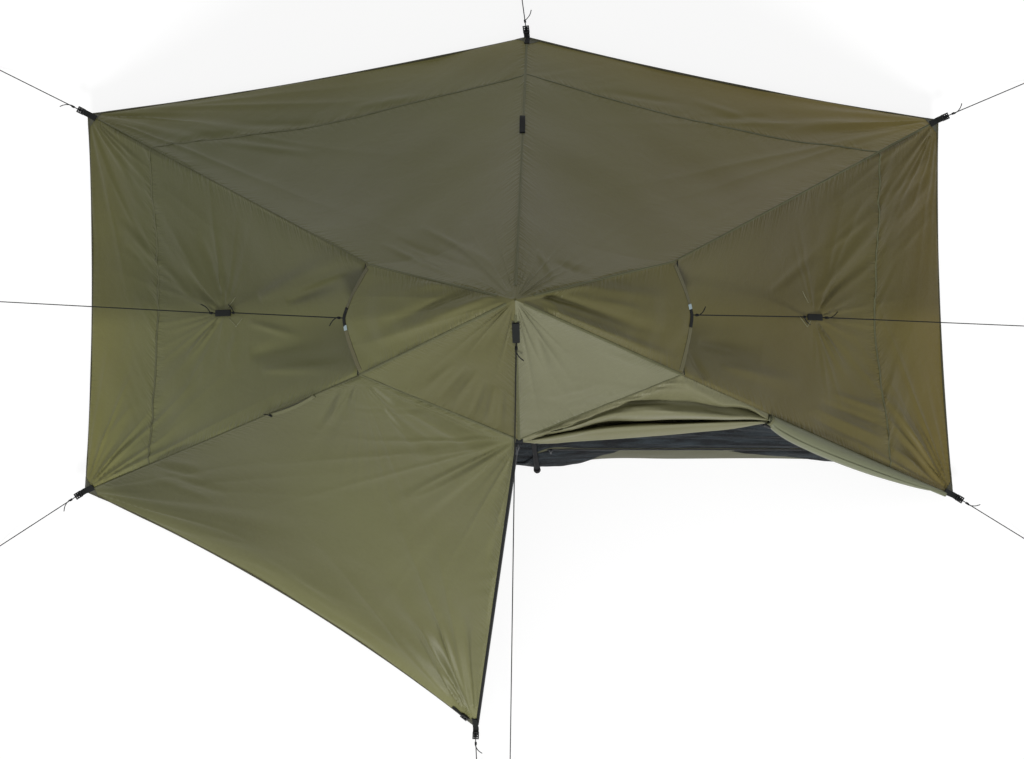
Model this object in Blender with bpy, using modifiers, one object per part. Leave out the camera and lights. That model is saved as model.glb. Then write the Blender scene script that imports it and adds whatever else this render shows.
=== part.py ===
# A one-person tent on a single pole: fly with vent hoods, mesh inner, bathtub floor, zips, pole and guylines.
# Metres, +Z up, the door towards -Y. The origin is on the ground under the peak.

import math

import bmesh
import bpy
import numpy as np
from mathutils import Matrix, Vector
from mathutils.bvhtree import BVHTree

OBJECT_NAME = "solo_tent"

# Cloth, webbing and clearances
PIECE_GAP = 0.0004
SEAM_INSET = 0.0006
FLY_CLOTH = 0.0005
MESH_CLOTH = 0.0005
FLOOR_CLOTH = 0.0010
WEBBING = 0.0014

# The fly's six corners on the ground plan, and its heights
PEAK_HEIGHT = 1.240
HEM_HEIGHT = 0.050
CORNER_BACK = (0.039, 0.867)
CORNER_BACK_LEFT = (-1.311, 0.630)
CORNER_FRONT_LEFT = (-1.320, -0.529)
CORNER_DOOR = (-0.112, -1.257)
CORNER_FRONT_RIGHT = (1.349, -0.541)
CORNER_BACK_RIGHT = (1.303, 0.612)
RIDGE_SAG = 0.020
SIDE_HEM_CURVE = 0.017
BACK_HEM_CURVE = 0.016
DOOR_HEM_CURVE = 0.045
BACK_PANEL_SAG = 0.030
DOOR_PANEL_SAG = 0.030
FRONT_PANEL_SAG = 0.008
HOOD_SWELL = 0.010

# Where the vents leave the ridges: place on the plan, and drop below the peak
VENT_BACK_LEFT = (-0.377, 0.111)
VENT_FRONT_LEFT = (-0.400, -0.174)
VENT_BACK_RIGHT = (0.412, 0.119)
VENT_FRONT_RIGHT = (0.432, -0.174)
VENT_TAB_LEFT = (-0.445, -0.027)
VENT_TAB_RIGHT = (0.462, -0.019)
VENT_BACK_DROP = 0.380
VENT_FRONT_DROP = 0.400
VENT_TAB_DROP = 0.410
VENT_MOUTH = 0.070
VENT_SILL_STEP = 0.012

# The door's peak, where both doors and the front panels meet
DOOR_PEAK = (0.011, -0.340)
DOOR_PEAK_DROP = 0.340
PEAK_SEAM_SAG = 0.012
PEAK_OPENING = 0.022
PEAK_PATCH_REACH = 0.055
PEAK_PANEL_START = 0.062
BACK_SEAM_BREAK = 0.370

# Bathtub floor and mesh inner
FLOOR_FRONT = -0.440
FLOOR_LEFT = -1.130
FLOOR_RIGHT = 1.135
FLOOR_BACK_SIDE = 0.515
FLOOR_BACK_MIDDLE = 0.745
TUB_HEIGHT = 0.110
TUB_LEAN_FRONT = 0.045
TUB_LEAN_SIDE = 0.022
BAND_HEIGHT = 0.240
MESH_FRONT_SAG = 0.050
MESH_PEAK_SETBACK = 0.045
MESH_PEAK_DROP = 0.110

# Door zip
ZIP_TAPE_WIDTH = 0.0070
ZIP_TAPE = 0.0009
ZIP_BEAD_RADIUS = 0.0015
ZIP_END_GAP = 0.016
SLIDER_LENGTH = 0.011
SLIDER_WALL = 0.0010
SLIDER_CLEARANCE = 0.00035
SLIDER_START = 0.030
SLIDER_GRIP = 0.0030
PULL_LENGTH = 0.020
PULL_WIDTH = 0.0055
PULL_THICKNESS = 0.0014
PULL_PIN_RADIUS = 0.0011

# Mesh door zip on the front bathtub wall
INNER_ZIP_START = 0.100
INNER_ZIP_END = 1.020
INNER_ZIP_WIDTH = 0.010
INNER_ZIP_BELOW_TOP = 0.002

# Pole
POLE_FOOT = (0.071, -0.466)
POLE_UPPER_RADIUS = 0.0090
POLE_LOWER_RADIUS = 0.0076
POLE_WALL = 0.0010
POLE_UPPER_LENGTH = 0.720
POLE_LOWER_LENGTH = 0.700
FOOT_RADIUS = 0.0110
FOOT_SOCKET_DEPTH = 0.016
FOOT_SOCKET_WALL = 0.0022
CUP_WALL = 0.0020
CUP_DEPTH = 0.030
CLAMP_HEIGHT = 0.026
CLAMP_WALL = 0.0032
LEVER_HEIGHT = 0.018
LEVER_THICKNESS = 0.0026
LEVER_WRAP_DEGREES = 150.0

# Rolled right door and its tie-back
TIE_RUN = 0.375
SWAG_DROOP = 0.095
SWAG_FORWARD = 0.034
SWAG_FOLD = 0.011
SWAG_FOLD_COUNT = 3
ROLL_RADIUS = 0.026
ROLL_END_RADIUS = 0.010
ROLL_END_RUN = 0.055
TIE_RADIUS = 0.0130
TIE_WIDTH = 0.010
TOGGLE_LENGTH = 0.028
TOGGLE_RADIUS = 0.0040

# Webbing, loops, line-locks and buckle
STRAP_WIDTH = 0.018
STRAP_ON_RIDGE = 0.030
STRAP_BEYOND = 0.014
STRAP_OVER_ZIP = 0.0023
STRAP_OVER_SEAM = 0.0009
LOCK_LENGTH = 0.022
LOCK_WIDTH = 0.020
LOCK_HEIGHT = 0.0065
LOCK_SLOT = 0.0032
LOCK_SLOT_WIDTH = 0.012
LOCK_BAR = 0.0032
LOOP_LENGTH = 0.064
PEAK_LOOP_LENGTH = 0.060
PEAK_LOOP_START = 0.072
VENT_TAB_LENGTH = 0.060
VENT_TAB_WIDTH = 0.013
SIDE_LOOP_LEFT = (-0.832, 0.004)
SIDE_LOOP_RIGHT = (0.858, -0.008)
BUCKLE_LENGTH = 0.024
BUCKLE_WIDTH = 0.018
BUCKLE_HEIGHT = 0.0070
BUCKLE_STRAP_LENGTH = 0.040
BUCKLE_FROM_CORNER = 0.046

# Guylines
CORD_RADIUS = 0.0015
CORD_SPACING = 0.010
TAUT_SPACING = 0.090
PEAK_GUY_END = (-0.013, -1.390)
SIDE_GUY_END = {"left": (-1.622, 0.057), "right": (1.608, -0.021)}

# Cloth grid
ACROSS = 8
ROWS_TO_VENT = 4
ROWS_TO_BAND = 6
ROWS_TO_HEM = 2

INSIDE = Vector((0.0, 0.0, 0.35))
UP = Vector((0.0, 0.0, 1.0))


# Setting up

for leftover in list(bpy.data.objects):
    bpy.data.objects.remove(leftover, do_unlink=True)

part_collection = bpy.data.collections.new(OBJECT_NAME)
cutter_collection = bpy.data.collections.new("cutters")
bpy.context.scene.collection.children.link(part_collection)
bpy.context.scene.collection.children.link(cutter_collection)


def srgb(red, green, blue):
    """Linear colour of an 8-bit screen colour."""
    shares = np.array((red, green, blue)) / 255.0
    linear = np.where(shares <= 0.04045, shares / 12.92, ((shares + 0.055) / 1.055) ** 2.4)
    return (*linear.tolist(), 1.0)


def material(name, colour, roughness, metallic=0.0):
    made = bpy.data.materials.new(name)
    made.use_nodes = True
    shader = made.node_tree.nodes["Principled BSDF"]
    shader.inputs["Base Color"].default_value = colour
    shader.inputs["Roughness"].default_value = roughness
    shader.inputs["Metallic"].default_value = metallic
    return made


FLY_FABRIC = material("fly_fabric", srgb(96, 98, 70), 0.55)
DOOR_FABRIC = material("door_fabric", srgb(114, 114, 78), 0.55)
ROLL_FABRIC = material("door_lining", srgb(128, 134, 112), 0.50)
FLOOR_FABRIC = material("floor_fabric", srgb(98, 98, 82), 0.60)
NETTING = material("netting", srgb(34, 36, 38), 0.80)
BLACK_WEBBING = material("black_webbing", srgb(34, 38, 40), 0.75)
BLACK_CORD = material("black_cord", srgb(28, 29, 30), 0.70)
BLACK_PLASTIC = material("black_plastic", srgb(30, 31, 33), 0.40)
ZIP_METAL = material("zip_metal", srgb(150, 154, 156), 0.30, 1.0)
ZIP_FABRIC = material("zip_fabric", srgb(58, 64, 56), 0.70)
POLE_TUBE = material("pole_tube", srgb(32, 33, 36), 0.30, 0.4)
FOOT_RUBBER = material("foot_rubber", srgb(24, 24, 25), 0.85)


def add_object(name, data, finish, place=None):
    """Put a mesh or curve in the part's collection under its node name."""
    data.materials.clear()
    data.materials.append(finish)
    made = bpy.data.objects.new(name, data)
    if place is not None:
        made.matrix_world = place
    part_collection.objects.link(made)
    return made


def bmesh_data(name, filled):
    """Turn a bmesh into mesh data and free it."""
    bmesh.ops.recalc_face_normals(filled, faces=filled.faces)
    data = bpy.data.meshes.new(name)
    filled.to_mesh(data)
    filled.free()
    return data


def unit(vector):
    return vector / np.linalg.norm(vector)


def place_along(origin, z_axis, x_hint):
    """Matrix whose Z runs along z_axis and whose X is as near x_hint as it can be."""
    z_dir = Vector(z_axis).normalized()
    y_dir = z_dir.cross(Vector(x_hint)).normalized()
    x_dir = y_dir.cross(z_dir)
    turned_axes = Matrix((x_dir, y_dir, z_dir)).transposed()
    return Matrix.Translation(Vector(origin)) @ turned_axes.to_4x4()


# Seams: every panel edge is a row of points that its two panels share

def plan_point(plan, height):
    return np.array((plan[0], plan[1], height))


PEAK = plan_point((0.0, 0.0), PEAK_HEIGHT)
DOOR_TOP = plan_point(DOOR_PEAK, PEAK_HEIGHT - DOOR_PEAK_DROP)
HEM_POINT = {
    "back": plan_point(CORNER_BACK, HEM_HEIGHT),
    "back_left": plan_point(CORNER_BACK_LEFT, HEM_HEIGHT),
    "front_left": plan_point(CORNER_FRONT_LEFT, HEM_HEIGHT),
    "door": plan_point(CORNER_DOOR, HEM_HEIGHT),
    "front_right": plan_point(CORNER_FRONT_RIGHT, HEM_HEIGHT),
    "back_right": plan_point(CORNER_BACK_RIGHT, HEM_HEIGHT),
}
VENT_POINT = {
    "back_left": plan_point(VENT_BACK_LEFT, PEAK_HEIGHT - VENT_BACK_DROP),
    "front_left": plan_point(VENT_FRONT_LEFT, PEAK_HEIGHT - VENT_FRONT_DROP),
    "back_right": plan_point(VENT_BACK_RIGHT, PEAK_HEIGHT - VENT_BACK_DROP),
    "front_right": plan_point(VENT_FRONT_RIGHT, PEAK_HEIGHT - VENT_FRONT_DROP),
    "left": plan_point(VENT_TAB_LEFT, PEAK_HEIGHT - VENT_TAB_DROP),
    "right": plan_point(VENT_TAB_RIGHT, PEAK_HEIGHT - VENT_TAB_DROP),
}
VENT_POINT["back"] = PEAK + BACK_SEAM_BREAK * unit(HEM_POINT["back"] - PEAK)


def along(start, end, shares, bow=(0.0, 0.0, 0.0)):
    """Points from start to end at these shares of the way, bowed most in the middle."""
    shares = np.asarray(shares)[:, None]
    return start + (end - start) * shares + 4.0 * shares * (1.0 - shares) * np.asarray(bow)


def upper_seam(end):
    """From the opening at the peak down to a vent corner or the door's peak."""
    length = np.linalg.norm(end - PEAK)
    rest = np.linspace(PEAK_PANEL_START / length, 1.0, ROWS_TO_VENT)
    return along(PEAK, end, np.concatenate(((PEAK_OPENING / length,), rest)))


def band_share(start, end, sag):
    """Share of the way down a sagging seam at which it crosses the mesh band's height."""
    fall = end[2] - start[2] - 4.0 * sag
    rise = start[2] - BAND_HEIGHT
    return (-fall - math.sqrt(fall * fall - 16.0 * sag * rise)) / (8.0 * sag)


def lower_shares(start, end):
    band = band_share(start, end, RIDGE_SAG)
    above = np.linspace(0.0, band, ROWS_TO_BAND + 1)
    below = np.linspace(band, 1.0, ROWS_TO_HEM + 1)
    return np.concatenate((above, below[1:]))


def lower_seam(corner):
    """From a vent corner down the ridge to the hem, sagging under its own weight."""
    start = VENT_POINT[corner]
    end = HEM_POINT[corner]
    return along(start, end, lower_shares(start, end), (0.0, 0.0, -RIDGE_SAG))


ACROSS_SHARES = np.linspace(0.0, 1.0, ACROSS + 1)
UPPER = {name: upper_seam(VENT_POINT[name]) for name in
         ("back", "back_left", "front_left", "back_right", "front_right")}
LOWER = {name: lower_seam(name) for name in
         ("back", "back_left", "front_left", "back_right", "front_right")}
CENTRE = upper_seam(DOOR_TOP)


def hem(start, end, curve):
    """Hem between two corners, cut in an inward curve."""
    run = end - start
    inward = unit(np.array((-run[1], run[0], 0.0)))
    if np.dot(inward, -0.5 * (start + end)) < 0.0:
        inward = -inward
    return along(start, end, ACROSS_SHARES, inward * curve)


def peak_seam(corner):
    """Seam from a front vent corner to the door's peak."""
    return along(VENT_POINT[corner], DOOR_TOP, ACROSS_SHARES, (0.0, 0.0, -PEAK_SEAM_SAG))


def coons(top, bottom, left, right, down_shares):
    """Surface through four edges: the two ruled surfaces less the bilinear one."""
    u = np.linspace(0.0, 1.0, len(top))[None, :, None]
    v = np.asarray(down_shares)[:, None, None]
    between_rows = (1.0 - v) * top[None] + v * bottom[None]
    between_sides = (1.0 - u) * left[:, None] + u * right[:, None]
    corners = ((1.0 - u) * (1.0 - v) * top[0] + u * (1.0 - v) * top[-1]
               + (1.0 - u) * v * bottom[0] + u * v * bottom[-1])
    return between_rows + between_sides - corners


def down_shares(side):
    """Share of the way along a seam at each of its points, by length."""
    steps = np.linalg.norm(np.diff(side, axis=0), axis=1)
    return np.concatenate(((0.0,), np.cumsum(steps))) / steps.sum()


def outward(grid):
    """Mean outward normal of a grid of points."""
    rows, columns = grid.shape[:2]
    diagonal = grid[-1, -1] - grid[0, 0]
    other = grid[-1, 0] - grid[0, -1]
    normal = unit(np.cross(diagonal, other))
    middle = grid[rows // 2, columns // 2]
    return normal if np.dot(normal, middle - np.array(INSIDE)) > 0.0 else -normal


def swelled(grid, height, first_row=0):
    """Push a panel's middle out by height, nothing at its edges or above first_row."""
    rows, columns = grid.shape[:2]
    v = np.clip((np.arange(rows) - first_row) / (rows - 1 - first_row), 0.0, 1.0)
    u = np.linspace(0.0, 1.0, columns)
    weight = np.outer(np.sin(math.pi * v), 4.0 * u * (1.0 - u))
    return grid + height * weight[..., None] * outward(grid)


def pulled_in(grid, inset=SEAM_INSET):
    """Draw the four edges back from their seams by the same distance all along."""
    out = grid.copy()
    for edge, inner in ((0, 1), (-1, -2)):
        step = grid[inner] - grid[edge]
        out[edge] += inset * step / np.linalg.norm(step, axis=1, keepdims=True)
    start = out.copy()
    for edge, inner in ((0, 1), (-1, -2)):
        step = start[:, inner] - start[:, edge]
        out[:, edge] += inset * step / np.linalg.norm(step, axis=1, keepdims=True)
    return out


def sheet(name, grid, thickness, finish, face_out=None):
    """Cloth through a grid of points, its thickness on the inner side."""
    rows, columns = grid.shape[:2]
    direction = outward(grid) if face_out is None else np.asarray(face_out)
    filled = bmesh.new()
    dots = [[filled.verts.new(grid[r, c]) for c in range(columns)] for r in range(rows)]
    for r in range(rows - 1):
        for c in range(columns - 1):
            filled.faces.new((dots[r][c], dots[r][c + 1], dots[r + 1][c + 1], dots[r + 1][c]))
    bmesh.ops.triangulate(filled, faces=filled.faces)
    filled.normal_update()
    facing = sum((face.normal * face.calc_area() for face in filled.faces), Vector())
    if facing.dot(Vector(direction)) < 0.0:
        bmesh.ops.reverse_faces(filled, faces=filled.faces)
    data = bpy.data.meshes.new(name)
    filled.to_mesh(data)
    filled.free()
    data.shade_smooth()
    made = add_object(name, data, finish)
    wall = made.modifiers.new("cloth", "SOLIDIFY")
    wall.thickness = thickness
    wall.offset = -1.0
    return made


# Fly

def back_panel(side):
    left = np.vstack((UPPER["back"], LOWER["back"][1:]))
    right = np.vstack((UPPER["back_" + side], LOWER["back_" + side][1:]))
    top = along(left[0], right[0], ACROSS_SHARES)
    bottom = hem(left[-1], right[-1], BACK_HEM_CURVE)
    grid = coons(top, bottom, left, right, down_shares(right))
    return swelled(grid, -BACK_PANEL_SAG, 1)


def side_panel(side):
    """Side panel, its top edge a sill that dips below the vent's lip."""
    back = LOWER["back_" + side].copy()
    front = LOWER["front_" + side].copy()
    back[0] += VENT_SILL_STEP * unit(back[1] - back[0])
    front[0] += VENT_SILL_STEP * unit(front[1] - front[0])
    bottom = hem(back[-1], front[-1], SIDE_HEM_CURVE)
    flat = coons(along(back[0], front[0], ACROSS_SHARES), bottom, back, front, down_shares(back))
    dip = VENT_MOUTH * np.sin(math.pi * ACROSS_SHARES)[:, None] ** 2
    sill = along(back[0], front[0], ACROSS_SHARES) - dip * outward(flat)
    return coons(sill, bottom, back, front, down_shares(back))


def vent_hood(side):
    back = UPPER["back_" + side]
    front = UPPER["front_" + side]
    top = along(back[0], front[0], ACROSS_SHARES)
    reach = VENT_POINT[side] - 0.5 * (back[-1] + front[-1])
    point = 1.0 - np.abs(2.0 * ACROSS_SHARES - 1.0) ** 1.4
    lip = along(back[-1], front[-1], ACROSS_SHARES) + point[:, None] * reach
    return swelled(coons(top, lip, back, front, down_shares(back)), HOOD_SWELL, 1)


def front_peak(side):
    ridge = UPPER["front_" + side]
    top = along(ridge[0], CENTRE[0], ACROSS_SHARES)
    grid = coons(top, peak_seam("front_" + side), ridge, CENTRE, down_shares(ridge))
    return swelled(grid, -FRONT_PANEL_SAG, 1)


panel_grids = {}
for side in ("left", "right"):
    panel_grids["back_panel_" + side] = back_panel(side)
    panel_grids["side_panel_" + side] = side_panel(side)
    panel_grids["vent_hood_" + side] = vent_hood(side)
    panel_grids["front_peak_" + side] = front_peak(side)

# The zip runs straight from the door's peak to the door corner. Its tape stands out from the left door's edge.
ZIP_DIRECTION = unit(HEM_POINT["door"] - DOOR_TOP)
ZIP_LENGTH = np.linalg.norm(HEM_POINT["door"] - DOOR_TOP)
_towards_ridge = VENT_POINT["front_left"] + HEM_POINT["front_left"] - DOOR_TOP - HEM_POINT["door"]
ZIP_INWARD = unit(_towards_ridge - np.dot(_towards_ridge, ZIP_DIRECTION) * ZIP_DIRECTION)
ZIP_NORMAL = np.cross(ZIP_DIRECTION, ZIP_INWARD)
ZIP_NORMAL = ZIP_NORMAL if ZIP_NORMAL[2] > 0.0 else -ZIP_NORMAL


def left_door():
    ridge = LOWER["front_left"]
    shares = lower_shares(VENT_POINT["front_left"], HEM_POINT["front_left"])
    beside_zip = ZIP_INWARD * (ZIP_TAPE_WIDTH + ZIP_BEAD_RADIUS)
    edge = along(DOOR_TOP, HEM_POINT["door"], shares) + beside_zip
    top = peak_seam("front_left") + ACROSS_SHARES[:, None] * beside_zip
    bottom = hem(ridge[-1], edge[-1], DOOR_HEM_CURVE)
    return swelled(coons(top, bottom, ridge, edge, down_shares(ridge)), -DOOR_PANEL_SAG)


panel_grids["left_door"] = left_door()

panels = {}
for name, grid in panel_grids.items():
    finish = DOOR_FABRIC if name == "left_door" else FLY_FABRIC
    panels[name] = sheet(name, pulled_in(grid), FLY_CLOTH, finish)


# Rolled right door: a swag of folds from the door's peak to the tie, then a roll down the ridge

RIDGE_RUN = np.linalg.norm(HEM_POINT["front_right"] - VENT_POINT["front_right"])
TIE_SHARE = TIE_RUN / RIDGE_RUN


def ridge_at(corner, shares):
    return along(VENT_POINT[corner], HEM_POINT[corner], shares, (0.0, 0.0, -RIDGE_SAG))


RIDGE_DIRECTION = unit(HEM_POINT["front_right"] - VENT_POINT["front_right"])
ROLL_SIDE = unit(np.cross(np.array(UP), RIDGE_DIRECTION))
ROLL_SIDE = ROLL_SIDE if ROLL_SIDE[1] < 0.0 else -ROLL_SIDE
TIE_OUTER = TIE_RADIUS + WEBBING
TIE_POINT = ridge_at("front_right", [TIE_SHARE])[0]
TIE_CENTRE = TIE_POINT + ROLL_SIDE * (TIE_OUTER + PIECE_GAP)


def swag():
    seam = peak_seam("front_right")[::-1]
    shares = lower_shares(VENT_POINT["front_right"], HEM_POINT["front_right"])
    stop = TIE_SHARE - (0.5 * TIE_WIDTH + 2.0 * PIECE_GAP) / RIDGE_RUN
    ridge = ridge_at("front_right", np.append(shares[shares < stop], stop))
    top = np.vstack((seam, ridge[1:]))[1:]
    run = down_shares(top)
    reach = np.linalg.norm(seam[1] - DOOR_TOP) / np.linalg.norm(TIE_POINT - DOOR_TOP)
    lowest = TIE_CENTRE - RIDGE_DIRECTION * (0.5 * TIE_WIDTH + 2.0 * PIECE_GAP)
    lowest = lowest + ROLL_SIDE * 0.5 * TIE_RADIUS
    bow = np.array((0.0, -SWAG_FORWARD, -SWAG_DROOP))
    edge = along(DOOR_TOP, lowest, reach + (1.0 - reach) * run, bow)
    rows = 4 * SWAG_FOLD_COUNT
    v = np.linspace(0.0, 1.0, rows + 1)[:, None, None]
    grid = (1.0 - v) * top[None] + v * edge[None]
    depth = np.linalg.norm(edge - top, axis=1)
    fold = SWAG_FOLD * np.minimum(1.0, depth / depth.max() * 1.6)
    wave = np.sin(2.0 * math.pi * SWAG_FOLD_COUNT * v[..., 0]) * np.sin(math.pi * v[..., 0])
    return grid + (wave * fold[None])[..., None] * outward(grid)


sheet("right_door_swag", pulled_in(swag(), 2.0 * SEAM_INSET), FLY_CLOTH, DOOR_FABRIC)


def poly_tube(name, points, radius, finish, sides=2, scales=None):
    """Round tube with filled ends through these points."""
    data = bpy.data.curves.new(name, "CURVE")
    data.dimensions = "3D"
    data.bevel_depth = radius
    data.bevel_resolution = sides
    data.use_fill_caps = True
    spline = data.splines.new("POLY")
    spline.points.add(len(points) - 1)
    for i, point in enumerate(points):
        spline.points[i].co = (*point, 1.0)
        spline.points[i].radius = 1.0 if scales is None else scales[i]
    return add_object(name, data, finish)


def roll():
    """Centres and radii of the rolled door: narrow in its tie, full below it, thin at the hem."""
    inside_tie = 0.5 * TIE_WIDTH / RIDGE_RUN
    last = 1.0 - ROLL_END_RUN / RIDGE_RUN
    start = TIE_RADIUS - 2.0 * PIECE_GAP
    part = np.linspace(0.0, 1.0, 14)
    shares = np.concatenate(((TIE_SHARE - inside_tie,), TIE_SHARE + inside_tie + (last - TIE_SHARE) * part))
    swell = np.sin(math.pi * np.clip(part * 1.1, 0.0, 1.0) ** 0.6) ** 0.8
    thin = start + (ROLL_END_RADIUS - start) * part
    radii = np.concatenate(((start,), thin + (ROLL_RADIUS - thin) * swell))
    reach = radii + PIECE_GAP
    reach[:2] = TIE_OUTER + PIECE_GAP
    return ridge_at("front_right", shares) + reach[:, None] * ROLL_SIDE, radii / ROLL_RADIUS


roll_centres, roll_scales = roll()
poly_tube("right_door_roll", roll_centres, ROLL_RADIUS, ROLL_FABRIC, 4, roll_scales)


# Turned pieces

def turned(name, profile, place, finish, steps=24):
    """Body of revolution about its own Z, from a closed section that runs down its outer side."""
    data = bpy.data.meshes.new(name)
    points = [(radius, 0.0, height) for radius, height in profile]
    edges = [(i, (i + 1) % len(points)) for i in range(len(points))]
    data.from_pydata(points, edges, [])
    made = add_object(name, data, finish, place)
    spin = made.modifiers.new("turn", "SCREW")
    spin.axis = "Z"
    spin.angle = 2.0 * math.pi
    spin.steps = steps
    spin.render_steps = steps
    spin.use_merge_vertices = True
    spin.merge_threshold = 0.00005
    spin.use_smooth_shade = True
    return made


def tube_section(inner, outer, low, high):
    return ((outer, high), (outer, low), (inner, low), (inner, high))


def solid_profile(name, profile, place, finish, steps=24):
    """Body of revolution that closes on its axis: profile runs from the top of the axis to its bottom."""
    data = bpy.data.meshes.new(name)
    points = [(radius, 0.0, height) for radius, height in profile]
    data.from_pydata(points, [(i, i + 1) for i in range(len(points) - 1)], [])
    made = add_object(name, data, finish, place)
    spin = made.modifiers.new("turn", "SCREW")
    spin.axis = "Z"
    spin.angle = 2.0 * math.pi
    spin.steps = steps
    spin.render_steps = steps
    spin.use_merge_vertices = True
    spin.merge_threshold = 0.00005
    spin.use_smooth_shade = True
    return made


tie_place = place_along(TIE_CENTRE, RIDGE_DIRECTION, ROLL_SIDE)
turned("tieback_strap", tube_section(TIE_RADIUS, TIE_OUTER, -0.5 * TIE_WIDTH, 0.5 * TIE_WIDTH),
       tie_place, BLACK_WEBBING)

toggle_centre = TIE_CENTRE + ROLL_SIDE * (TIE_OUTER + PIECE_GAP + TOGGLE_RADIUS)
TOGGLE_WAIST = 0.7 * TOGGLE_RADIUS
toggle_half = 0.5 * TOGGLE_LENGTH
toggle_profile = ((0.0, toggle_half), (0.75 * TOGGLE_RADIUS, toggle_half),
                  (TOGGLE_RADIUS, 0.8 * toggle_half), (TOGGLE_RADIUS, 0.25 * toggle_half),
                  (TOGGLE_WAIST, 0.12 * toggle_half), (TOGGLE_WAIST, -0.12 * toggle_half),
                  (TOGGLE_RADIUS, -0.25 * toggle_half), (TOGGLE_RADIUS, -0.8 * toggle_half),
                  (0.75 * TOGGLE_RADIUS, -toggle_half), (0.0, -toggle_half))
solid_profile("tieback_toggle", toggle_profile, place_along(toggle_centre, RIDGE_DIRECTION, ROLL_SIDE),
              BLACK_PLASTIC, 12)


# Peak: reinforcement under the panels, and the cup that takes the pole's top

SEAM_ORDER = (VENT_POINT["back"], VENT_POINT["back_left"], VENT_POINT["front_left"], DOOR_TOP,
              VENT_POINT["front_right"], VENT_POINT["back_right"])
seam_runs = [unit(end - PEAK) for end in SEAM_ORDER]


def inward_normal(first, second):
    normal = unit(np.cross(first, second))
    return normal if normal[2] < 0.0 else -normal


facet_normals = [inward_normal(seam_runs[i], seam_runs[(i + 1) % 6]) for i in range(6)]
least_fall = min(-normal[2] for normal in facet_normals)
PATCH_DROP = (FLY_CLOTH + PIECE_GAP) / least_fall


def peak_patch():
    """Six-sided cone of cloth under the peak, open only where its facets meet."""
    top = PEAK - np.array((0.0, 0.0, PATCH_DROP))
    filled = bmesh.new()
    crown = filled.verts.new(top)
    rim = [filled.verts.new(top + PEAK_PATCH_REACH * run) for run in seam_runs]
    for i in range(6):
        filled.faces.new((crown, rim[i], rim[(i + 1) % 6]))
    filled.normal_update()
    if sum(face.normal.z for face in filled.faces) < 0.0:
        bmesh.ops.reverse_faces(filled, faces=filled.faces)
    data = bpy.data.meshes.new("peak_patch")
    filled.to_mesh(data)
    filled.free()
    made = add_object("peak_patch", data, FLY_FABRIC)
    wall = made.modifiers.new("cloth", "SOLIDIFY")
    wall.thickness = FLY_CLOTH
    wall.offset = -1.0


peak_patch()

FOOT_CENTRE = plan_point(POLE_FOOT, FOOT_RADIUS + PIECE_GAP)
POLE_LINE = unit(PEAK - FOOT_CENTRE)
CUP_RADIUS = POLE_UPPER_RADIUS + PIECE_GAP + CUP_WALL


def cup_seat():
    """Distance down the pole's line at which the cup's rim just clears the reinforcement."""
    side = unit(np.cross(POLE_LINE, np.array((1.0, 0.0, 0.0))))
    other = np.cross(POLE_LINE, side)
    seats = []
    for angle in np.linspace(0.0, 2.0 * math.pi, 24, endpoint=False):
        rim = CUP_RADIUS * (math.cos(angle) * side + math.sin(angle) * other)
        for normal in facet_normals:
            needed = -PATCH_DROP * normal[2] + 1.5 * FLY_CLOTH + PIECE_GAP
            seats.append((needed - rim.dot(normal)) / (-POLE_LINE).dot(normal))
    return max(seats)


CUP_TOP = np.linalg.norm(PEAK - FOOT_CENTRE) - cup_seat()
POLE_TOP = CUP_TOP - CUP_WALL - PIECE_GAP
UPPER_BOTTOM = POLE_TOP - POLE_UPPER_LENGTH
pole_place = place_along(FOOT_CENTRE, POLE_LINE, (1.0, 0.0, 0.0))

cup_inner = POLE_UPPER_RADIUS + PIECE_GAP
solid_profile("pole_cup",
              ((0.0, CUP_TOP), (CUP_RADIUS, CUP_TOP), (CUP_RADIUS, CUP_TOP - CUP_DEPTH),
               (cup_inner, CUP_TOP - CUP_DEPTH), (cup_inner, CUP_TOP - CUP_WALL), (0.0, CUP_TOP - CUP_WALL)),
              pole_place, BLACK_PLASTIC)


# Pole

turned("pole_upper", tube_section(POLE_UPPER_RADIUS - POLE_WALL, POLE_UPPER_RADIUS, UPPER_BOTTOM, POLE_TOP),
       pole_place, POLE_TUBE)

LOWER_BOTTOM = 0.4 * FOOT_RADIUS
LOWER_TOP = LOWER_BOTTOM + POLE_LOWER_LENGTH
turned("pole_lower", tube_section(POLE_LOWER_RADIUS - POLE_WALL, POLE_LOWER_RADIUS, LOWER_BOTTOM, LOWER_TOP),
       pole_place, POLE_TUBE)

socket_inner = POLE_LOWER_RADIUS + PIECE_GAP
socket_outer = socket_inner + FOOT_SOCKET_WALL
socket_floor = LOWER_BOTTOM - PIECE_GAP
socket_top = socket_floor + FOOT_SOCKET_DEPTH
ball_join = math.asin(min(1.0, socket_outer / FOOT_RADIUS))
ball = [(FOOT_RADIUS * math.sin(angle), FOOT_RADIUS * math.cos(angle))
        for angle in np.linspace(ball_join, math.pi, 9)]
ball[-1] = (0.0, -FOOT_RADIUS)
solid_profile("pole_foot",
              [(0.0, socket_floor), (socket_inner, socket_floor), (socket_inner, socket_top),
               (socket_outer, socket_top)] + ball, pole_place, FOOT_RUBBER)

CLAMP_INNER = POLE_UPPER_RADIUS + PIECE_GAP
CLAMP_OUTER = CLAMP_INNER + CLAMP_WALL
CLAMP_LOW = UPPER_BOTTOM - 0.1 * CLAMP_HEIGHT
CLAMP_HIGH = CLAMP_LOW + CLAMP_HEIGHT
turned("pole_clamp", tube_section(CLAMP_INNER, CLAMP_OUTER, CLAMP_LOW, CLAMP_HIGH), pole_place, BLACK_PLASTIC)

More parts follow.
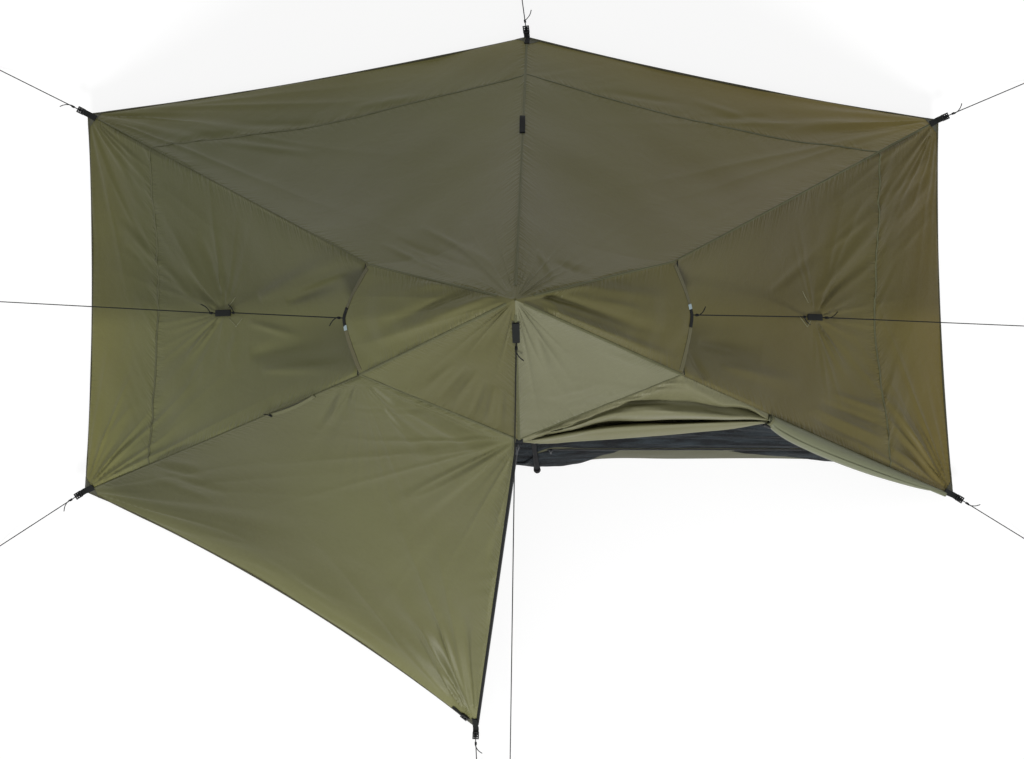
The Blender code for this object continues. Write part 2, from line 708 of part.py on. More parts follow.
LEVER_INNER = CLAMP_OUTER + PIECE_GAP
LEVER_OUTER = LEVER_INNER + LEVER_THICKNESS
LEVER_PIVOT = 0.5 * (LEVER_INNER + LEVER_OUTER)
LEVER_MIDDLE = 0.5 * (CLAMP_LOW + CLAMP_HIGH)


def flat_outline(name, points, height, place, finish):
    """Flat outline drawn in its own XY plane and given its height evenly about it."""
    data = bpy.data.curves.new(name, "CURVE")
    data.dimensions = "2D"
    data.fill_mode = "BOTH"
    data.extrude = 0.5 * height
    spline = data.splines.new("POLY")
    spline.points.add(len(points) - 1)
    for i, (x, y) in enumerate(points):
        spline.points[i].co = (x, y, 0.0, 1.0)
    spline.use_cyclic_u = True
    return add_object(name, data, finish, place)


def lever_outline():
    """Crescent round the clamp, about its pivot, with a raised finger tip."""
    angles = np.radians(np.linspace(0.0, LEVER_WRAP_DEGREES, 13))
    tip = np.linspace(0.0, 1.0, 13) ** 6 * 2.0 * LEVER_THICKNESS
    outer = [((LEVER_OUTER + rise) * math.cos(a) - LEVER_PIVOT, (LEVER_OUTER + rise) * math.sin(a))
             for a, rise in zip(angles, tip)]
    inner = [((LEVER_INNER + rise) * math.cos(a) - LEVER_PIVOT, (LEVER_INNER + rise) * math.sin(a))
             for a, rise in zip(angles, tip)]
    return outer + inner[::-1]


# The lever's pivot is on the clamp's right side, and its arc wraps the front of the pole.
lever_frame = place_along(FOOT_CENTRE + POLE_LINE * LEVER_MIDDLE, -POLE_LINE, (1.0, 0.0, 0.0))
lever_pivot_place = lever_frame @ Matrix.Translation((LEVER_PIVOT, 0.0, 0.0))
flat_outline("clamp_lever", lever_outline(), LEVER_HEIGHT, lever_pivot_place, BLACK_PLASTIC)


# Bathtub floor

FLOOR_PLAN = ((FLOOR_LEFT, FLOOR_FRONT), (FLOOR_RIGHT, FLOOR_FRONT), (FLOOR_RIGHT, FLOOR_BACK_SIDE),
              (CORNER_BACK[0], FLOOR_BACK_MIDDLE), (FLOOR_LEFT, FLOOR_BACK_SIDE))
FLOOR_SIDES = ("front", "right", "back_right", "back_left", "left")
TUB_LEANS = (TUB_LEAN_FRONT, TUB_LEAN_SIDE, TUB_LEAN_SIDE, TUB_LEAN_SIDE, TUB_LEAN_SIDE)


def drawn_in(plan, leans):
    """Corners of an outline whose sides move in by their own distances."""
    count = len(plan)
    corners = [np.array(point) for point in plan]
    lines = []
    for i in range(count):
        run = unit(corners[(i + 1) % count] - corners[i])
        inward = np.array((-run[1], run[0]))
        lines.append((corners[i] + inward * leans[i], run))
    moved = []
    for i in range(count):
        here, run = lines[i]
        before, other = lines[i - 1]
        solve = np.array(((run[0], -other[0]), (run[1], -other[1])))
        step = np.linalg.solve(solve, before - here)
        moved.append(here + run * step[0])
    return moved


TUB_TOP_PLAN = drawn_in(FLOOR_PLAN, TUB_LEANS)
WALL_FOOT = FLOOR_CLOTH + PIECE_GAP
floor_place = Matrix.Translation((0.0, 0.0, 0.5 * FLOOR_CLOTH))
flat_outline("floor_panel", FLOOR_PLAN, FLOOR_CLOTH, floor_place, FLOOR_FABRIC)


def bathtub_wall():
    """Wall that stands all round the floor, leaning in to its own outline at the top."""
    filled = bmesh.new()
    rings = []
    for plan, height in ((TUB_TOP_PLAN, TUB_HEIGHT), (FLOOR_PLAN, WALL_FOOT)):
        ring = []
        for index, corner in enumerate(plan):
            follow = plan[(index + 1) % len(plan)]
            shares = np.linspace(0.0, 1.0, 4, endpoint=False)
            ring.extend(filled.verts.new(point)
                        for point in along(plan_point(corner, height), plan_point(follow, height), shares))
        rings.append(ring)
    count = len(rings[0])
    for i in range(count):
        j = (i + 1) % count
        filled.faces.new((rings[0][i], rings[0][j], rings[1][j], rings[1][i]))
    bmesh.ops.recalc_face_normals(filled, faces=filled.faces)
    filled.normal_update()
    if sum(face.normal.dot(face.calc_center_median()) for face in filled.faces) < 0.0:
        bmesh.ops.reverse_faces(filled, faces=filled.faces)
    data = bpy.data.meshes.new("bathtub_wall")
    filled.to_mesh(data)
    filled.free()
    made = add_object("bathtub_wall", data, FLOOR_FABRIC)
    wall = made.modifiers.new("cloth", "SOLIDIFY")
    wall.thickness = FLY_CLOTH
    wall.offset = -1.0


bathtub_wall()


# Netting between the bathtub and the fly

def under(grid, row, depth):
    """Points of a panel's row, moved in along the panel's own normals."""
    line = grid[row]
    down = grid[row + 1] - grid[row - 1]
    across = np.gradient(line, axis=0)
    normals = np.cross(down, across)
    normals /= np.linalg.norm(normals, axis=1, keepdims=True)
    if np.dot(normals.mean(axis=0), line.mean(axis=0) - np.array(INSIDE)) > 0.0:
        normals = -normals
    return line + depth * normals


SKIRT_DEPTH = FLY_CLOTH + PIECE_GAP + MESH_CLOTH
SKIRT_INSET = 4.0 * SEAM_INSET
BAND_ROW_BACK = ROWS_TO_VENT + ROWS_TO_BAND
SKIRTS = {
    "left": ("side_panel_left", ROWS_TO_BAND),
    "back_left": ("back_panel_left", BAND_ROW_BACK),
    "back_right": ("back_panel_right", BAND_ROW_BACK),
    "right": ("side_panel_right", ROWS_TO_BAND),
}


def skirt(side, panel, row):
    high = under(panel_grids[panel], row, SKIRT_DEPTH)
    index = FLOOR_SIDES.index(side)
    follow = (index + 1) % len(FLOOR_PLAN)
    ends = [plan_point(TUB_TOP_PLAN[i], TUB_HEIGHT + PIECE_GAP) for i in (index, follow)]
    if np.linalg.norm(high[0] - ends[0]) > np.linalg.norm(high[0] - ends[1]):
        ends.reverse()
    low = along(ends[0], ends[1], ACROSS_SHARES)
    shares = np.linspace(0.0, 1.0, 3)[:, None, None]
    grid = (1.0 - shares) * high[None] + shares * low[None]
    for edge, inner in ((0, 1), (-1, -2)):
        step = grid[:, inner] - grid[:, edge]
        grid[:, edge] += SKIRT_INSET * step / np.linalg.norm(step, axis=1, keepdims=True)
    return grid


for side, (panel, row) in SKIRTS.items():
    sheet("mesh_skirt_" + side, skirt(side, panel, row), MESH_CLOTH, NETTING)


def mesh_front():
    """Front wall: from the bathtub's front edge up under both front ridges, behind the pole."""
    tops = []
    for side in ("left", "right"):
        corner = "front_" + side
        lower = LOWER[corner][:ROWS_TO_BAND + 1]
        upper = UPPER[corner][1:-1]
        tops.append(np.vstack((upper, lower))[::-1])
    hang = np.array((0.0, 0.0, -(SKIRT_DEPTH + PIECE_GAP)))
    left = tops[0] + hang
    right = tops[1][::-1] + hang
    crown = PEAK + np.array((0.0, MESH_PEAK_SETBACK, -MESH_PEAK_DROP))
    for line, order in ((left, -1), (right, 1)):
        near = line[-2:] if order < 0 else line[:2]
        for point, share in zip(near[::order], (0.75, 0.25)):
            point[:] = point + share * 0.5 * (crown - point) + np.array((0.0, 0.0, -0.2 * MESH_PEAK_SETBACK))
    high = np.vstack((left, crown[None], right))
    ends = [plan_point(TUB_TOP_PLAN[i], TUB_HEIGHT + PIECE_GAP) for i in (0, 1)]
    spread = (high[:, 0] - high[0, 0]) / (high[-1, 0] - high[0, 0])
    low = along(ends[0], ends[1], spread)
    v = np.linspace(0.0, 1.0, 8)[:, None, None]
    grid = (1.0 - v) * high[None] + v * low[None]
    u = np.linspace(0.0, 1.0, len(high))
    belly = np.outer(np.sin(math.pi * v[:, 0, 0]), np.sin(math.pi * u))
    grid[..., 1] += MESH_FRONT_SAG * belly
    for edge, inner in ((0, 1), (-1, -2)):
        step = grid[:, inner] - grid[:, edge]
        grid[:, edge] += SKIRT_INSET * step / np.linalg.norm(step, axis=1, keepdims=True)
    return grid


sheet("mesh_front", mesh_front(), MESH_CLOTH, NETTING, (0.0, -1.0, 0.2))


def vent_mesh(side):
    """Netting from the side panel's sill up to the hood's inner face."""
    sill = panel_grids["side_panel_" + side][0]
    hood = panel_grids["vent_hood_" + side]
    row = ROWS_TO_VENT - 2
    high = under(hood, row, SKIRT_DEPTH)
    low = sill + np.array((0.0, 0.0, PIECE_GAP + MESH_CLOTH))
    v = np.linspace(0.0, 1.0, 4)[:, None, None]
    grid = (1.0 - v) * high[None] + v * low[None]
    for edge, inner in ((0, 1), (-1, -2)):
        step = grid[:, inner] - grid[:, edge]
        grid[:, edge] += 4.0 * SKIRT_INSET * step / np.linalg.norm(step, axis=1, keepdims=True)
    return grid


for side in ("left", "right"):
    sheet("vent_mesh_" + side, vent_mesh(side), MESH_CLOTH, NETTING)


# Zips

def zip_profile():
    """Tape and coil bead in section: x across the tape from the bead, y through it."""
    bead = [(ZIP_BEAD_RADIUS * math.cos(a), ZIP_BEAD_RADIUS * math.sin(a))
            for a in np.linspace(-0.75 * math.pi, 0.75 * math.pi, 9)]
    half = 0.5 * ZIP_TAPE
    reach = -(ZIP_TAPE_WIDTH + ZIP_BEAD_RADIUS - PIECE_GAP)
    neck = -math.sqrt(ZIP_BEAD_RADIUS ** 2 - half ** 2)
    return [(reach, -half), (neck, -half)] + bead[1:-1] + [(neck, half), (reach, half)]


zip_middle = DOOR_TOP + ZIP_DIRECTION * 0.5 * ZIP_LENGTH
zip_place = place_along(zip_middle, ZIP_DIRECTION, -ZIP_INWARD)
flat_outline("door_zip", zip_profile(), ZIP_LENGTH - 2.0 * ZIP_END_GAP, zip_place, ZIP_FABRIC)


def cutter(name, data, place):
    made = bpy.data.objects.new(name, data)
    made.matrix_world = place
    made.hide_render = True
    made.display_type = "WIRE"
    cutter_collection.objects.link(made)
    return made


def box_data(name, size, centre=(0.0, 0.0, 0.0), bevel=0.0):
    filled = bmesh.new()
    bmesh.ops.create_cube(filled, size=1.0)
    bmesh.ops.scale(filled, vec=size, verts=filled.verts)
    bmesh.ops.translate(filled, vec=centre, verts=filled.verts)
    if bevel > 0.0:
        bmesh.ops.bevel(filled, geom=filled.edges[:] + filled.verts[:], offset=bevel, segments=1,
                        affect="EDGES")
    return bmesh_data(name, filled)


def rod_data(name, radius, length, sides=12):
    filled = bmesh.new()
    bmesh.ops.create_cone(filled, cap_ends=True, segments=sides, radius1=radius, radius2=radius, depth=length)
    return bmesh_data(name, filled)


def cut(target, tool):
    step = target.modifiers.new("cut", "BOOLEAN")
    step.operation = "DIFFERENCE"
    step.solver = "EXACT"
    step.object = tool


# Door slider: a block that rides on the bead, open towards the tape, with two ears for its pull
slider_centre = DOOR_TOP + ZIP_DIRECTION * SLIDER_START
slider_place = place_along(slider_centre, ZIP_NORMAL, ZIP_DIRECTION)
BORE_RADIUS = ZIP_BEAD_RADIUS + SLIDER_CLEARANCE
SLIDER_HALF_HEIGHT = BORE_RADIUS + SLIDER_WALL
SLIDER_FRONT = BORE_RADIUS + SLIDER_WALL
SLIDER_ACROSS = SLIDER_FRONT + BORE_RADIUS + SLIDER_GRIP
inward_in_slider = 1.0 if Vector(slider_place.to_3x3().col[1]).dot(Vector(ZIP_INWARD)) > 0.0 else -1.0
slider_offset = inward_in_slider * (0.5 * SLIDER_ACROSS - SLIDER_FRONT)
zip_slider = add_object("zip_slider", box_data("zip_slider", (SLIDER_LENGTH, SLIDER_ACROSS,
                        2.0 * SLIDER_HALF_HEIGHT), (0.0, slider_offset, 0.0), 0.0004), ZIP_METAL, slider_place)
bead_place = slider_place @ Matrix.Rotation(math.pi / 2.0, 4, "Y")
cut(zip_slider, cutter("bead_cutter", rod_data("bead_cutter", BORE_RADIUS, 2.0 * SLIDER_LENGTH), bead_place))
slot_reach = 2.0 * SLIDER_ACROSS
slot = box_data("tape_cutter", (2.0 * SLIDER_LENGTH, slot_reach, ZIP_TAPE + 2.0 * SLIDER_CLEARANCE),
                (0.0, inward_in_slider * 0.5 * slot_reach, 0.0))
cut(zip_slider, cutter("tape_cutter", slot, slider_place))

PULL_PIN_HEIGHT = SLIDER_HALF_HEIGHT + PIECE_GAP + PULL_PIN_RADIUS


def pull_data(name, length, width, thickness, pin_radius):
    """Pull tab: a tapered plate from a round pin across its root."""
    filled = bmesh.new()
    bmesh.ops.create_cone(filled, cap_ends=True, segments=12, radius1=pin_radius, radius2=pin_radius,
                          depth=0.8 * width, matrix=Matrix.Rotation(math.pi / 2.0, 4, "X"))
    pin = bmesh_data(name + "_pin", filled)
    plate = box_data(name + "_plate", (length, width, thickness), (0.5 * length, 0.0, 0.0), 0.0003)
    return pin, plate


def fused(name, bodies, place, finish):
    """One closed solid from overlapping bodies, joined by Boolean union."""
    made = add_object(name, bodies[0], finish, place)
    for number, body in enumerate(bodies[1:]):
        step = made.modifiers.new("join", "BOOLEAN")
        step.operation = "UNION"
        step.solver = "EXACT"
        step.object = cutter(f"{name}_body_{number}", body, place)
    return made


pull_place = slider_place @ Matrix.Translation((0.0, 0.0, PULL_PIN_HEIGHT))
fused("zip_pull", pull_data("zip_pull", PULL_LENGTH, PULL_WIDTH, PULL_THICKNESS, PULL_PIN_RADIUS),
      pull_place, ZIP_METAL)

# Mesh door zip: a tape on the front wall's outer face, with its slider and pull
front_low = plan_point(FLOOR_PLAN[0], WALL_FOOT)
front_high = plan_point(TUB_TOP_PLAN[0], TUB_HEIGHT)
wall_up = np.array((0.0, front_high[1] - front_low[1], front_high[2] - front_low[2]))
WALL_UP = unit(wall_up)
WALL_OUT = unit(np.array((0.0, -WALL_UP[2], WALL_UP[1])))
zip_half_width = 0.5 * INNER_ZIP_WIDTH
inner_zip_centre = (np.array((0.0, front_high[1], TUB_HEIGHT))
                    - WALL_UP * (zip_half_width + INNER_ZIP_BELOW_TOP)
                    + WALL_OUT * (PIECE_GAP + 0.5 * ZIP_TAPE))
inner_middle = inner_zip_centre + np.array((0.5 * (INNER_ZIP_START + INNER_ZIP_END), 0.0, 0.0))
inner_place = place_along(inner_middle, WALL_OUT, (1.0, 0.0, 0.0))
add_object("inner_zip", box_data("inner_zip", (INNER_ZIP_END - INNER_ZIP_START, INNER_ZIP_WIDTH, ZIP_TAPE)),
           ZIP_FABRIC, inner_place)

inner_slider_centre = (inner_zip_centre + np.array((INNER_ZIP_START + SLIDER_LENGTH, 0.0, 0.0))
                       + WALL_OUT * (0.5 * ZIP_TAPE + SLIDER_CLEARANCE + SLIDER_HALF_HEIGHT))
inner_slider_place = place_along(inner_slider_centre, WALL_OUT, (1.0, 0.0, 0.0))
add_object("inner_zip_slider", box_data("inner_zip_slider", (SLIDER_LENGTH, 0.8 * INNER_ZIP_WIDTH,
           2.0 * SLIDER_HALF_HEIGHT), (0.0, 0.0, 0.0), 0.0005), ZIP_METAL, inner_slider_place)
# The pull hangs down the wall from a pin that lies along the zip.
inner_pull_place = place_along(inner_slider_centre + WALL_OUT * PULL_PIN_HEIGHT, WALL_OUT, -WALL_UP)
fused("inner_zip_pull", pull_data("inner_zip_pull", PULL_LENGTH, PULL_WIDTH, PULL_THICKNESS, PULL_PIN_RADIUS),
      inner_pull_place, ZIP_METAL)


# Webbing that lies on the fly follows its surface, found by looking straight down

def surface_below(names):
    """Search tree of the outer faces of these panels."""
    graph = bpy.context.evaluated_depsgraph_get()
    points = []
    faces = []
    for name in names:
        data = panels[name].evaluated_get(graph).to_mesh()
        start = len(points)
        points.extend(vertex.co.copy() for vertex in data.vertices)
        faces.extend([start + i for i in face.vertices] for face in data.polygons)
    return BVHTree.FromPolygons(points, faces)


def laid(tree, plan, lift):
    """Point above the cloth at this place on the plan, lifted off it along its normal."""
    hit, normal, _, _ = tree.ray_cast(Vector((plan[0], plan[1], 2.0 * PEAK_HEIGHT)), -UP)
    normal = normal if normal.z > 0.0 else -normal
    return np.array(hit + normal * lift), np.array(normal)


def strap_grid(path, normals, width):
    """Two edges of a flat strap along a path, across its normals."""
    runs = np.gradient(path, axis=0)
    sides = np.cross(runs, normals)
    sides /= np.linalg.norm(sides, axis=1, keepdims=True)
    return np.stack((path - 0.5 * width * sides, path + 0.5 * width * sides), axis=1)


def solid_strap(grid, thickness, normal):
    """Closed strap between a lower grid of points and the same grid raised by its thickness."""
    filled = bmesh.new()
    layers = []
    for level in (0.0, thickness):
        layers.append([[filled.verts.new(point + normals * level) for point in pair]
                       for pair, normals in zip(grid, normal)])
    count = len(grid)
    for i in range(count - 1):
        for layer in layers:
            filled.faces.new((layer[i][0], layer[i][1], layer[i + 1][1], layer[i + 1][0]))
        for edge in (0, 1):
            filled.faces.new((layers[0][i][edge], layers[0][i + 1][edge],
                              layers[1][i + 1][edge], layers[1][i][edge]))
    for i in (0, count - 1):
        filled.faces.new((layers[0][i][0], layers[0][i][1], layers[1][i][1], layers[1][i][0]))
    return filled


def strap_data(name, path, normals, width, thickness):
    return bmesh_data(name, solid_strap(strap_grid(path, normals, width), thickness, normals))


fly_tree = surface_below(list(panels))


def laid_strap(name, start, end, width, steps=5, lift=PIECE_GAP):
    """Strap that lies on the fly from one place on the plan to another."""
    places = [laid(fly_tree, plan, lift) for plan in np.linspace(start, end, steps)]
    path = np.array([point for point, _ in places])
    normals = np.array([normal for _, normal in places])
    return strap_data(name, path, normals, width, WEBBING), (path, normals)


def beside(plan, direction, distance):
    return np.asarray(plan) + np.asarray(direction) * distance


LOOP_PATH = {}
for name, plan in (("left", SIDE_LOOP_LEFT), ("right", SIDE_LOOP_RIGHT)):
    outwards = np.array((math.copysign(1.0, plan[0]), 0.0))
    half = 0.37 * LOOP_LENGTH
    data, LOOP_PATH[name] = laid_strap("side_loop_" + name, beside(plan, outwards, -half),
                                       beside(plan, outwards, half), STRAP_WIDTH, 5, 2.0 * PIECE_GAP)
    add_object("side_loop_" + name, data, BLACK_WEBBING)

CENTRE_NORMAL = unit(np.cross(np.cross(DOOR_TOP - PEAK, np.array(UP)), DOOR_TOP - PEAK))
CENTRE_NORMAL = CENTRE_NORMAL if CENTRE_NORMAL[2] > 0.0 else -CENTRE_NORMAL
peak_loop_shares = np.array((0.0, 0.35, 0.7, 1.0))
peak_loop_path = (PEAK + unit(DOOR_TOP - PEAK) * (PEAK_LOOP_START + PEAK_LOOP_LENGTH * peak_loop_shares)[:, None]
                  + CENTRE_NORMAL * (PIECE_GAP + 0.006 * peak_loop_shares ** 2)[:, None])
peak_loop_data = strap_data("peak_loop", peak_loop_path, np.tile(CENTRE_NORMAL, (4, 1)), STRAP_WIDTH, WEBBING)
add_object("peak_loop", peak_loop_data, BLACK_WEBBING)
PEAK_LOOP_END = peak_loop_path[-1] + CENTRE_NORMAL * 0.5 * WEBBING


def vent_tab(side):
    """Webbing that lies along the hood's lip on both sides of its point."""
    lip = panel_grids["vent_hood_" + side][-1]
    hood_normal = outward(panel_grids["vent_hood_" + side])
    middle = ACROSS // 2
    inward = unit(panel_grids["vent_hood_" + side][-2, middle] - lip[middle])
    arms = [lip[middle] + 0.5 * VENT_TAB_LENGTH * unit(lip[middle + step] - lip[middle]) for step in (-1, 1)]
    path = np.array((arms[0], lip[middle], arms[1]))
    path = path + inward * (0.5 * VENT_TAB_WIDTH + 0.002) + hood_normal * (4.0 * PIECE_GAP)
    data = strap_data("vent_tab_" + side, path, np.tile(hood_normal, (3, 1)), VENT_TAB_WIDTH, WEBBING)
    add_object("vent_tab_" + side, data, BLACK_WEBBING)
    return path[1] - inward * 0.5 * VENT_TAB_WIDTH + hood_normal * 0.5 * WEBBING


TAB_EDGE = {side: vent_tab(side) for side in ("left", "right")}


# Corners: a strap along the ridge, then a line-lock that takes the guyline

GUY_END = {
    "back_left": (-1.622, 0.787),
    "back": (0.021, 1.018),
    "back_right": (1.608, 0.744),
    "front_left": (-1.622, -0.719),
    "front_right": (1.608, -0.695),
    "door": (-0.116, -1.390),
}


def corner_frame(name):
    corner = HEM_POINT[name]
    outwards = unit(np.append(np.asarray(GUY_END[name]) - corner[:2], 0.0))
    return corner, outwards


def corner_strap(name):
    """Strap from the ridge's last stretch over the corner to the line-lock."""
    corner, outwards = corner_frame(name)
    if name == "door":
        inner = corner - ZIP_DIRECTION * STRAP_ON_RIDGE + ZIP_INWARD * (0.75 * STRAP_WIDTH)
        inner = inner + ZIP_NORMAL * STRAP_OVER_ZIP
        edge = corner + ZIP_INWARD * 0.3 * STRAP_WIDTH + ZIP_NORMAL * STRAP_OVER_ZIP
    else:
        seam = LOWER[name]
        back_up = unit(seam[-2] - seam[-1])
        inner = corner + back_up * STRAP_ON_RIDGE + np.array(UP) * STRAP_OVER_SEAM
        edge = corner + np.array(UP) * STRAP_OVER_SEAM
    end = edge + outwards * STRAP_BEYOND
    path = np.array((inner, 0.5 * (inner + edge), edge, end))
    side = np.cross(outwards, np.array(UP))
    normals = []
    for run in np.gradient(path, axis=0):
        normal = unit(np.cross(side, run))
        normals.append(normal if normal[2] > 0.0 else -normal)
    if name == "door":
        normals[0] = normals[1] = ZIP_NORMAL
        normals[2] = unit(ZIP_NORMAL + normals[3])
    return strap_data("corner_strap", path, np.array(normals), STRAP_WIDTH, WEBBING), end


def line_lock_data():
    """Line-lock: a chamfered block with a webbing slot, two cord slots and a bar between them."""
    block = add_object("line_lock_block", box_data("line_lock_block", (LOCK_LENGTH, LOCK_WIDTH, LOCK_HEIGHT),
                                                   (0.0, 0.0, 0.0), 0.0012), BLACK_PLASTIC)
    for place in (-1.0, 0.0, 1.0):
        slot_data = box_data("lock_slot", (LOCK_SLOT, LOCK_SLOT_WIDTH, 2.0 * LOCK_HEIGHT),
                             (place * (LOCK_SLOT + LOCK_BAR), 0.0, 0.0))
        cut(block, cutter("lock_slot", slot_data, Matrix.Identity(4)))
    graph = bpy.context.evaluated_depsgraph_get()
    data = bpy.data.meshes.new_from_object(block.evaluated_get(graph))
    bpy.data.objects.remove(block, do_unlink=True)
    return data


lock_body = line_lock_data()
LOCK_PLACE = {}
LOCK_BACK_BAR = 0.5 * (LOCK_LENGTH - 3.0 * LOCK_SLOT - 2.0 * LOCK_BAR)
for name in GUY_END:
    corner, outwards = corner_frame(name)
    strap, strap_end = corner_strap(name)
    centre = strap_end + outwards * (0.5 * LOCK_LENGTH - 0.5 * LOCK_BACK_BAR) + np.array(UP) * 0.5 * WEBBING
    LOCK_PLACE[name] = place_along(centre, UP, outwards)
    turned_lock = lock_body.copy()
    turned_lock.transform(LOCK_PLACE[name])
    fused("corner_lock_" + name, (strap, turned_lock), Matrix.Identity(4), BLACK_PLASTIC)

# Buckle on its own strap, sewn along the hem beside the door corner
hem_line = panel_grids["left_door"][-1][::-1]
hem_run = unit(hem_line[1] - hem_line[0])
hem_inward = unit(np.array((-hem_run[1], hem_run[0], 0.0)))
hem_inward = hem_inward if hem_inward[1] > 0.0 else -hem_inward
buckle_plan = (hem_line[0] + hem_run * BUCKLE_FROM_CORNER + hem_inward * (0.5 * BUCKLE_WIDTH))[:2]
on_door, door_normal = laid(fly_tree, buckle_plan, 2.0 * PIECE_GAP)
buckle_place = place_along(on_door, door_normal, hem_run)
buckle_block = box_data("buckle", (BUCKLE_LENGTH, BUCKLE_WIDTH, BUCKLE_HEIGHT), (0.0, 0.0, 0.5 * BUCKLE_HEIGHT),
                        0.0015)
buckle_strap = box_data("buckle_strap", (BUCKLE_STRAP_LENGTH, 0.6 * BUCKLE_WIDTH, WEBBING),
                        (0.5 * (BUCKLE_LENGTH + BUCKLE_STRAP_LENGTH) - 0.004, 0.0, 0.5 * WEBBING + PIECE_GAP))
fused("door_buckle", (buckle_block, buckle_strap), buckle_place, BLACK_PLASTIC)


# Guylines: routes chosen by hand, each ending in a loop for its peg

GUY_LIFT = CORD_RADIUS + 0.0002
PEG_LOOP = ((0.008, 0.004), (0.020, 0.013), (0.036, 0.016), (0.049, 0.009), (0.053, -0.003),
            (0.045, -0.013), (0.030, -0.016), (0.016, -0.011), (0.007, -0.0055))


def smooth_route(points, spacing):
    """Points at even spacing along a smooth curve through the route's own points."""
    points = np.asarray(points, dtype=float)
    before = np.vstack((2.0 * points[0] - points[1], points, 2.0 * points[-1] - points[-2]))
    dense = []
    for i in range(1, len(before) - 2):
        p0, p1, p2, p3 = before[i - 1:i + 3]
        for t in np.linspace(0.0, 1.0, 24, endpoint=False):
            dense.append(0.5 * (2.0 * p1 + (p2 - p0) * t + (2.0 * p0 - 5.0 * p1 + 4.0 * p2 - p3) * t ** 2
                                + (3.0 * p1 - p0 - 3.0 * p2 + p3) * t ** 3))
    dense.append(points[-1])
    dense = np.array(dense)
    steps = np.linalg.norm(np.diff(dense, axis=0), axis=1)
    run = np.concatenate(((0.0,), np.cumsum(steps)))
    count = max(4, int(round(run[-1] / spacing)))
    marks = np.linspace(0.0, run[-1], count + 1)
    return np.column_stack([np.interp(marks, run, dense[:, k]) for k in range(3)])


def with_peg_loop(route):
    """The same route, ending in a loop that lies on the ground in the line's direction."""
    end = np.asarray(route[-1])
    run = end - np.asarray(route[0])
    ahead = unit(np.array((run[0], run[1], 0.0)))
    side = np.array((-ahead[1], ahead[0], 0.0))
    return list(route) + [tuple(end + ahead * forward + side * across) for forward, across in PEG_LOOP]


def lock_mouth(name):
    """Where a guyline leaves its line-lock."""
    _, outwards = corner_frame(name)
    centre = np.array(LOCK_PLACE[name].translation)
    return centre + outwards * (0.5 * LOCK_LENGTH + 2.0 * PIECE_GAP)


def guyline(name, start, end):
    """Taut line from start to the ground at end, then its peg loop."""
    taut = smooth_route((start, 0.5 * (start + end), end), TAUT_SPACING)
    looped = smooth_route(with_peg_loop((start, end))[1:], CORD_SPACING)
    poly_tube(name, np.vstack((taut, looped[1:])), CORD_RADIUS, BLACK_CORD)


for name, end_plan in GUY_END.items():
    mouth = lock_mouth(name)
    guyline("guy_" + name, mouth, plan_point(end_plan, GUY_LIFT))

peak_loop_along = unit(peak_loop_path[-1] - peak_loop_path[-2])
guyline("guy_peak", PEAK_LOOP_END + peak_loop_along * (2.0 * PIECE_GAP), plan_point(PEAK_GUY_END, GUY_LIFT))

for side, end_plan in SIDE_GUY_END.items():
    path, normals = LOOP_PATH[side]
    lift = 0.5 * WEBBING + 2.0 * PIECE_GAP
    inner = path[0] + normals[0] * lift - unit(path[1] - path[0]) * (2.0 * PIECE_GAP)
    outer = path[-1] + normals[-1] * lift + unit(path[-1] - path[-2]) * (2.0 * PIECE_GAP)
    start = TAB_EDGE[side] + unit(inner - TAB_EDGE[side]) * (2.0 * PIECE_GAP)
    poly_tube("vent_cord_" + side, smooth_route((start, 0.5 * (start + inner), inner), TAUT_SPACING),
              CORD_RADIUS, BLACK_CORD)
    guyline("guy_" + side, outer, plan_point(end_plan, GUY_LIFT))
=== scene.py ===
# %% [markdown]
# # A solo tent on one pole
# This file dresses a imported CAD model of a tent: a six-cornered fly with its left door zipped shut and its
# right door rolled back, hooded vents, a mesh inner, a pole and taut guylines. The CAD model gives every
# size. The cells below rebuild the cloth as fine surfaces with folds and seams, and give each piece a
# material.

# %% Load the frame and keep the size of the CAD model
import math

import bmesh
import bpy
import numpy as np
from mathutils import Matrix, Vector


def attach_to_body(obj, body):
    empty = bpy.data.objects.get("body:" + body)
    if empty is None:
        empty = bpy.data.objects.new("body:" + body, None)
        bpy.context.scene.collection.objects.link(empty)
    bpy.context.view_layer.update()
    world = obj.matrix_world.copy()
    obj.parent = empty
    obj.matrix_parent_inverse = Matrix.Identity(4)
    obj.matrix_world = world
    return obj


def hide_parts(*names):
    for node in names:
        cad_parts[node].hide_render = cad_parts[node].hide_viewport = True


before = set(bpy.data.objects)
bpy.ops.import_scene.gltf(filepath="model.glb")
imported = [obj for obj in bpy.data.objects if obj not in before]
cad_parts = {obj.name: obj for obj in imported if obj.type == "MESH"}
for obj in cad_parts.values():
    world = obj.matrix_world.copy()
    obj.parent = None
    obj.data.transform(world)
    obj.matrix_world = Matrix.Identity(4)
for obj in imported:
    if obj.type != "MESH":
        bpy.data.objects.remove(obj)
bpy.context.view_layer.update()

# %% [markdown]
# ## The camera
# The photograph looks straight down at the pitched tent from about five metres, a little in front of the
# peak. A camera without rotation looks down Blender's Z axis with +Y at the top of the picture: the same
# view.

# %% Camera
EYE = np.array((-0.007, -0.186, 5.0))
PHOTO_LENS = 56.6
camera = bpy.data.objects.new("photo_camera", bpy.data.cameras.new("photo_camera"))
camera.data.lens = PHOTO_LENS
camera.data.sensor_width = 36.0
camera.location = EYE
bpy.context.scene.collection.objects.link(camera)
bpy.context.scene.camera = camera
FOCAL = 322.0
PICTURE_CENTRE = np.array((512.0, 379.5))


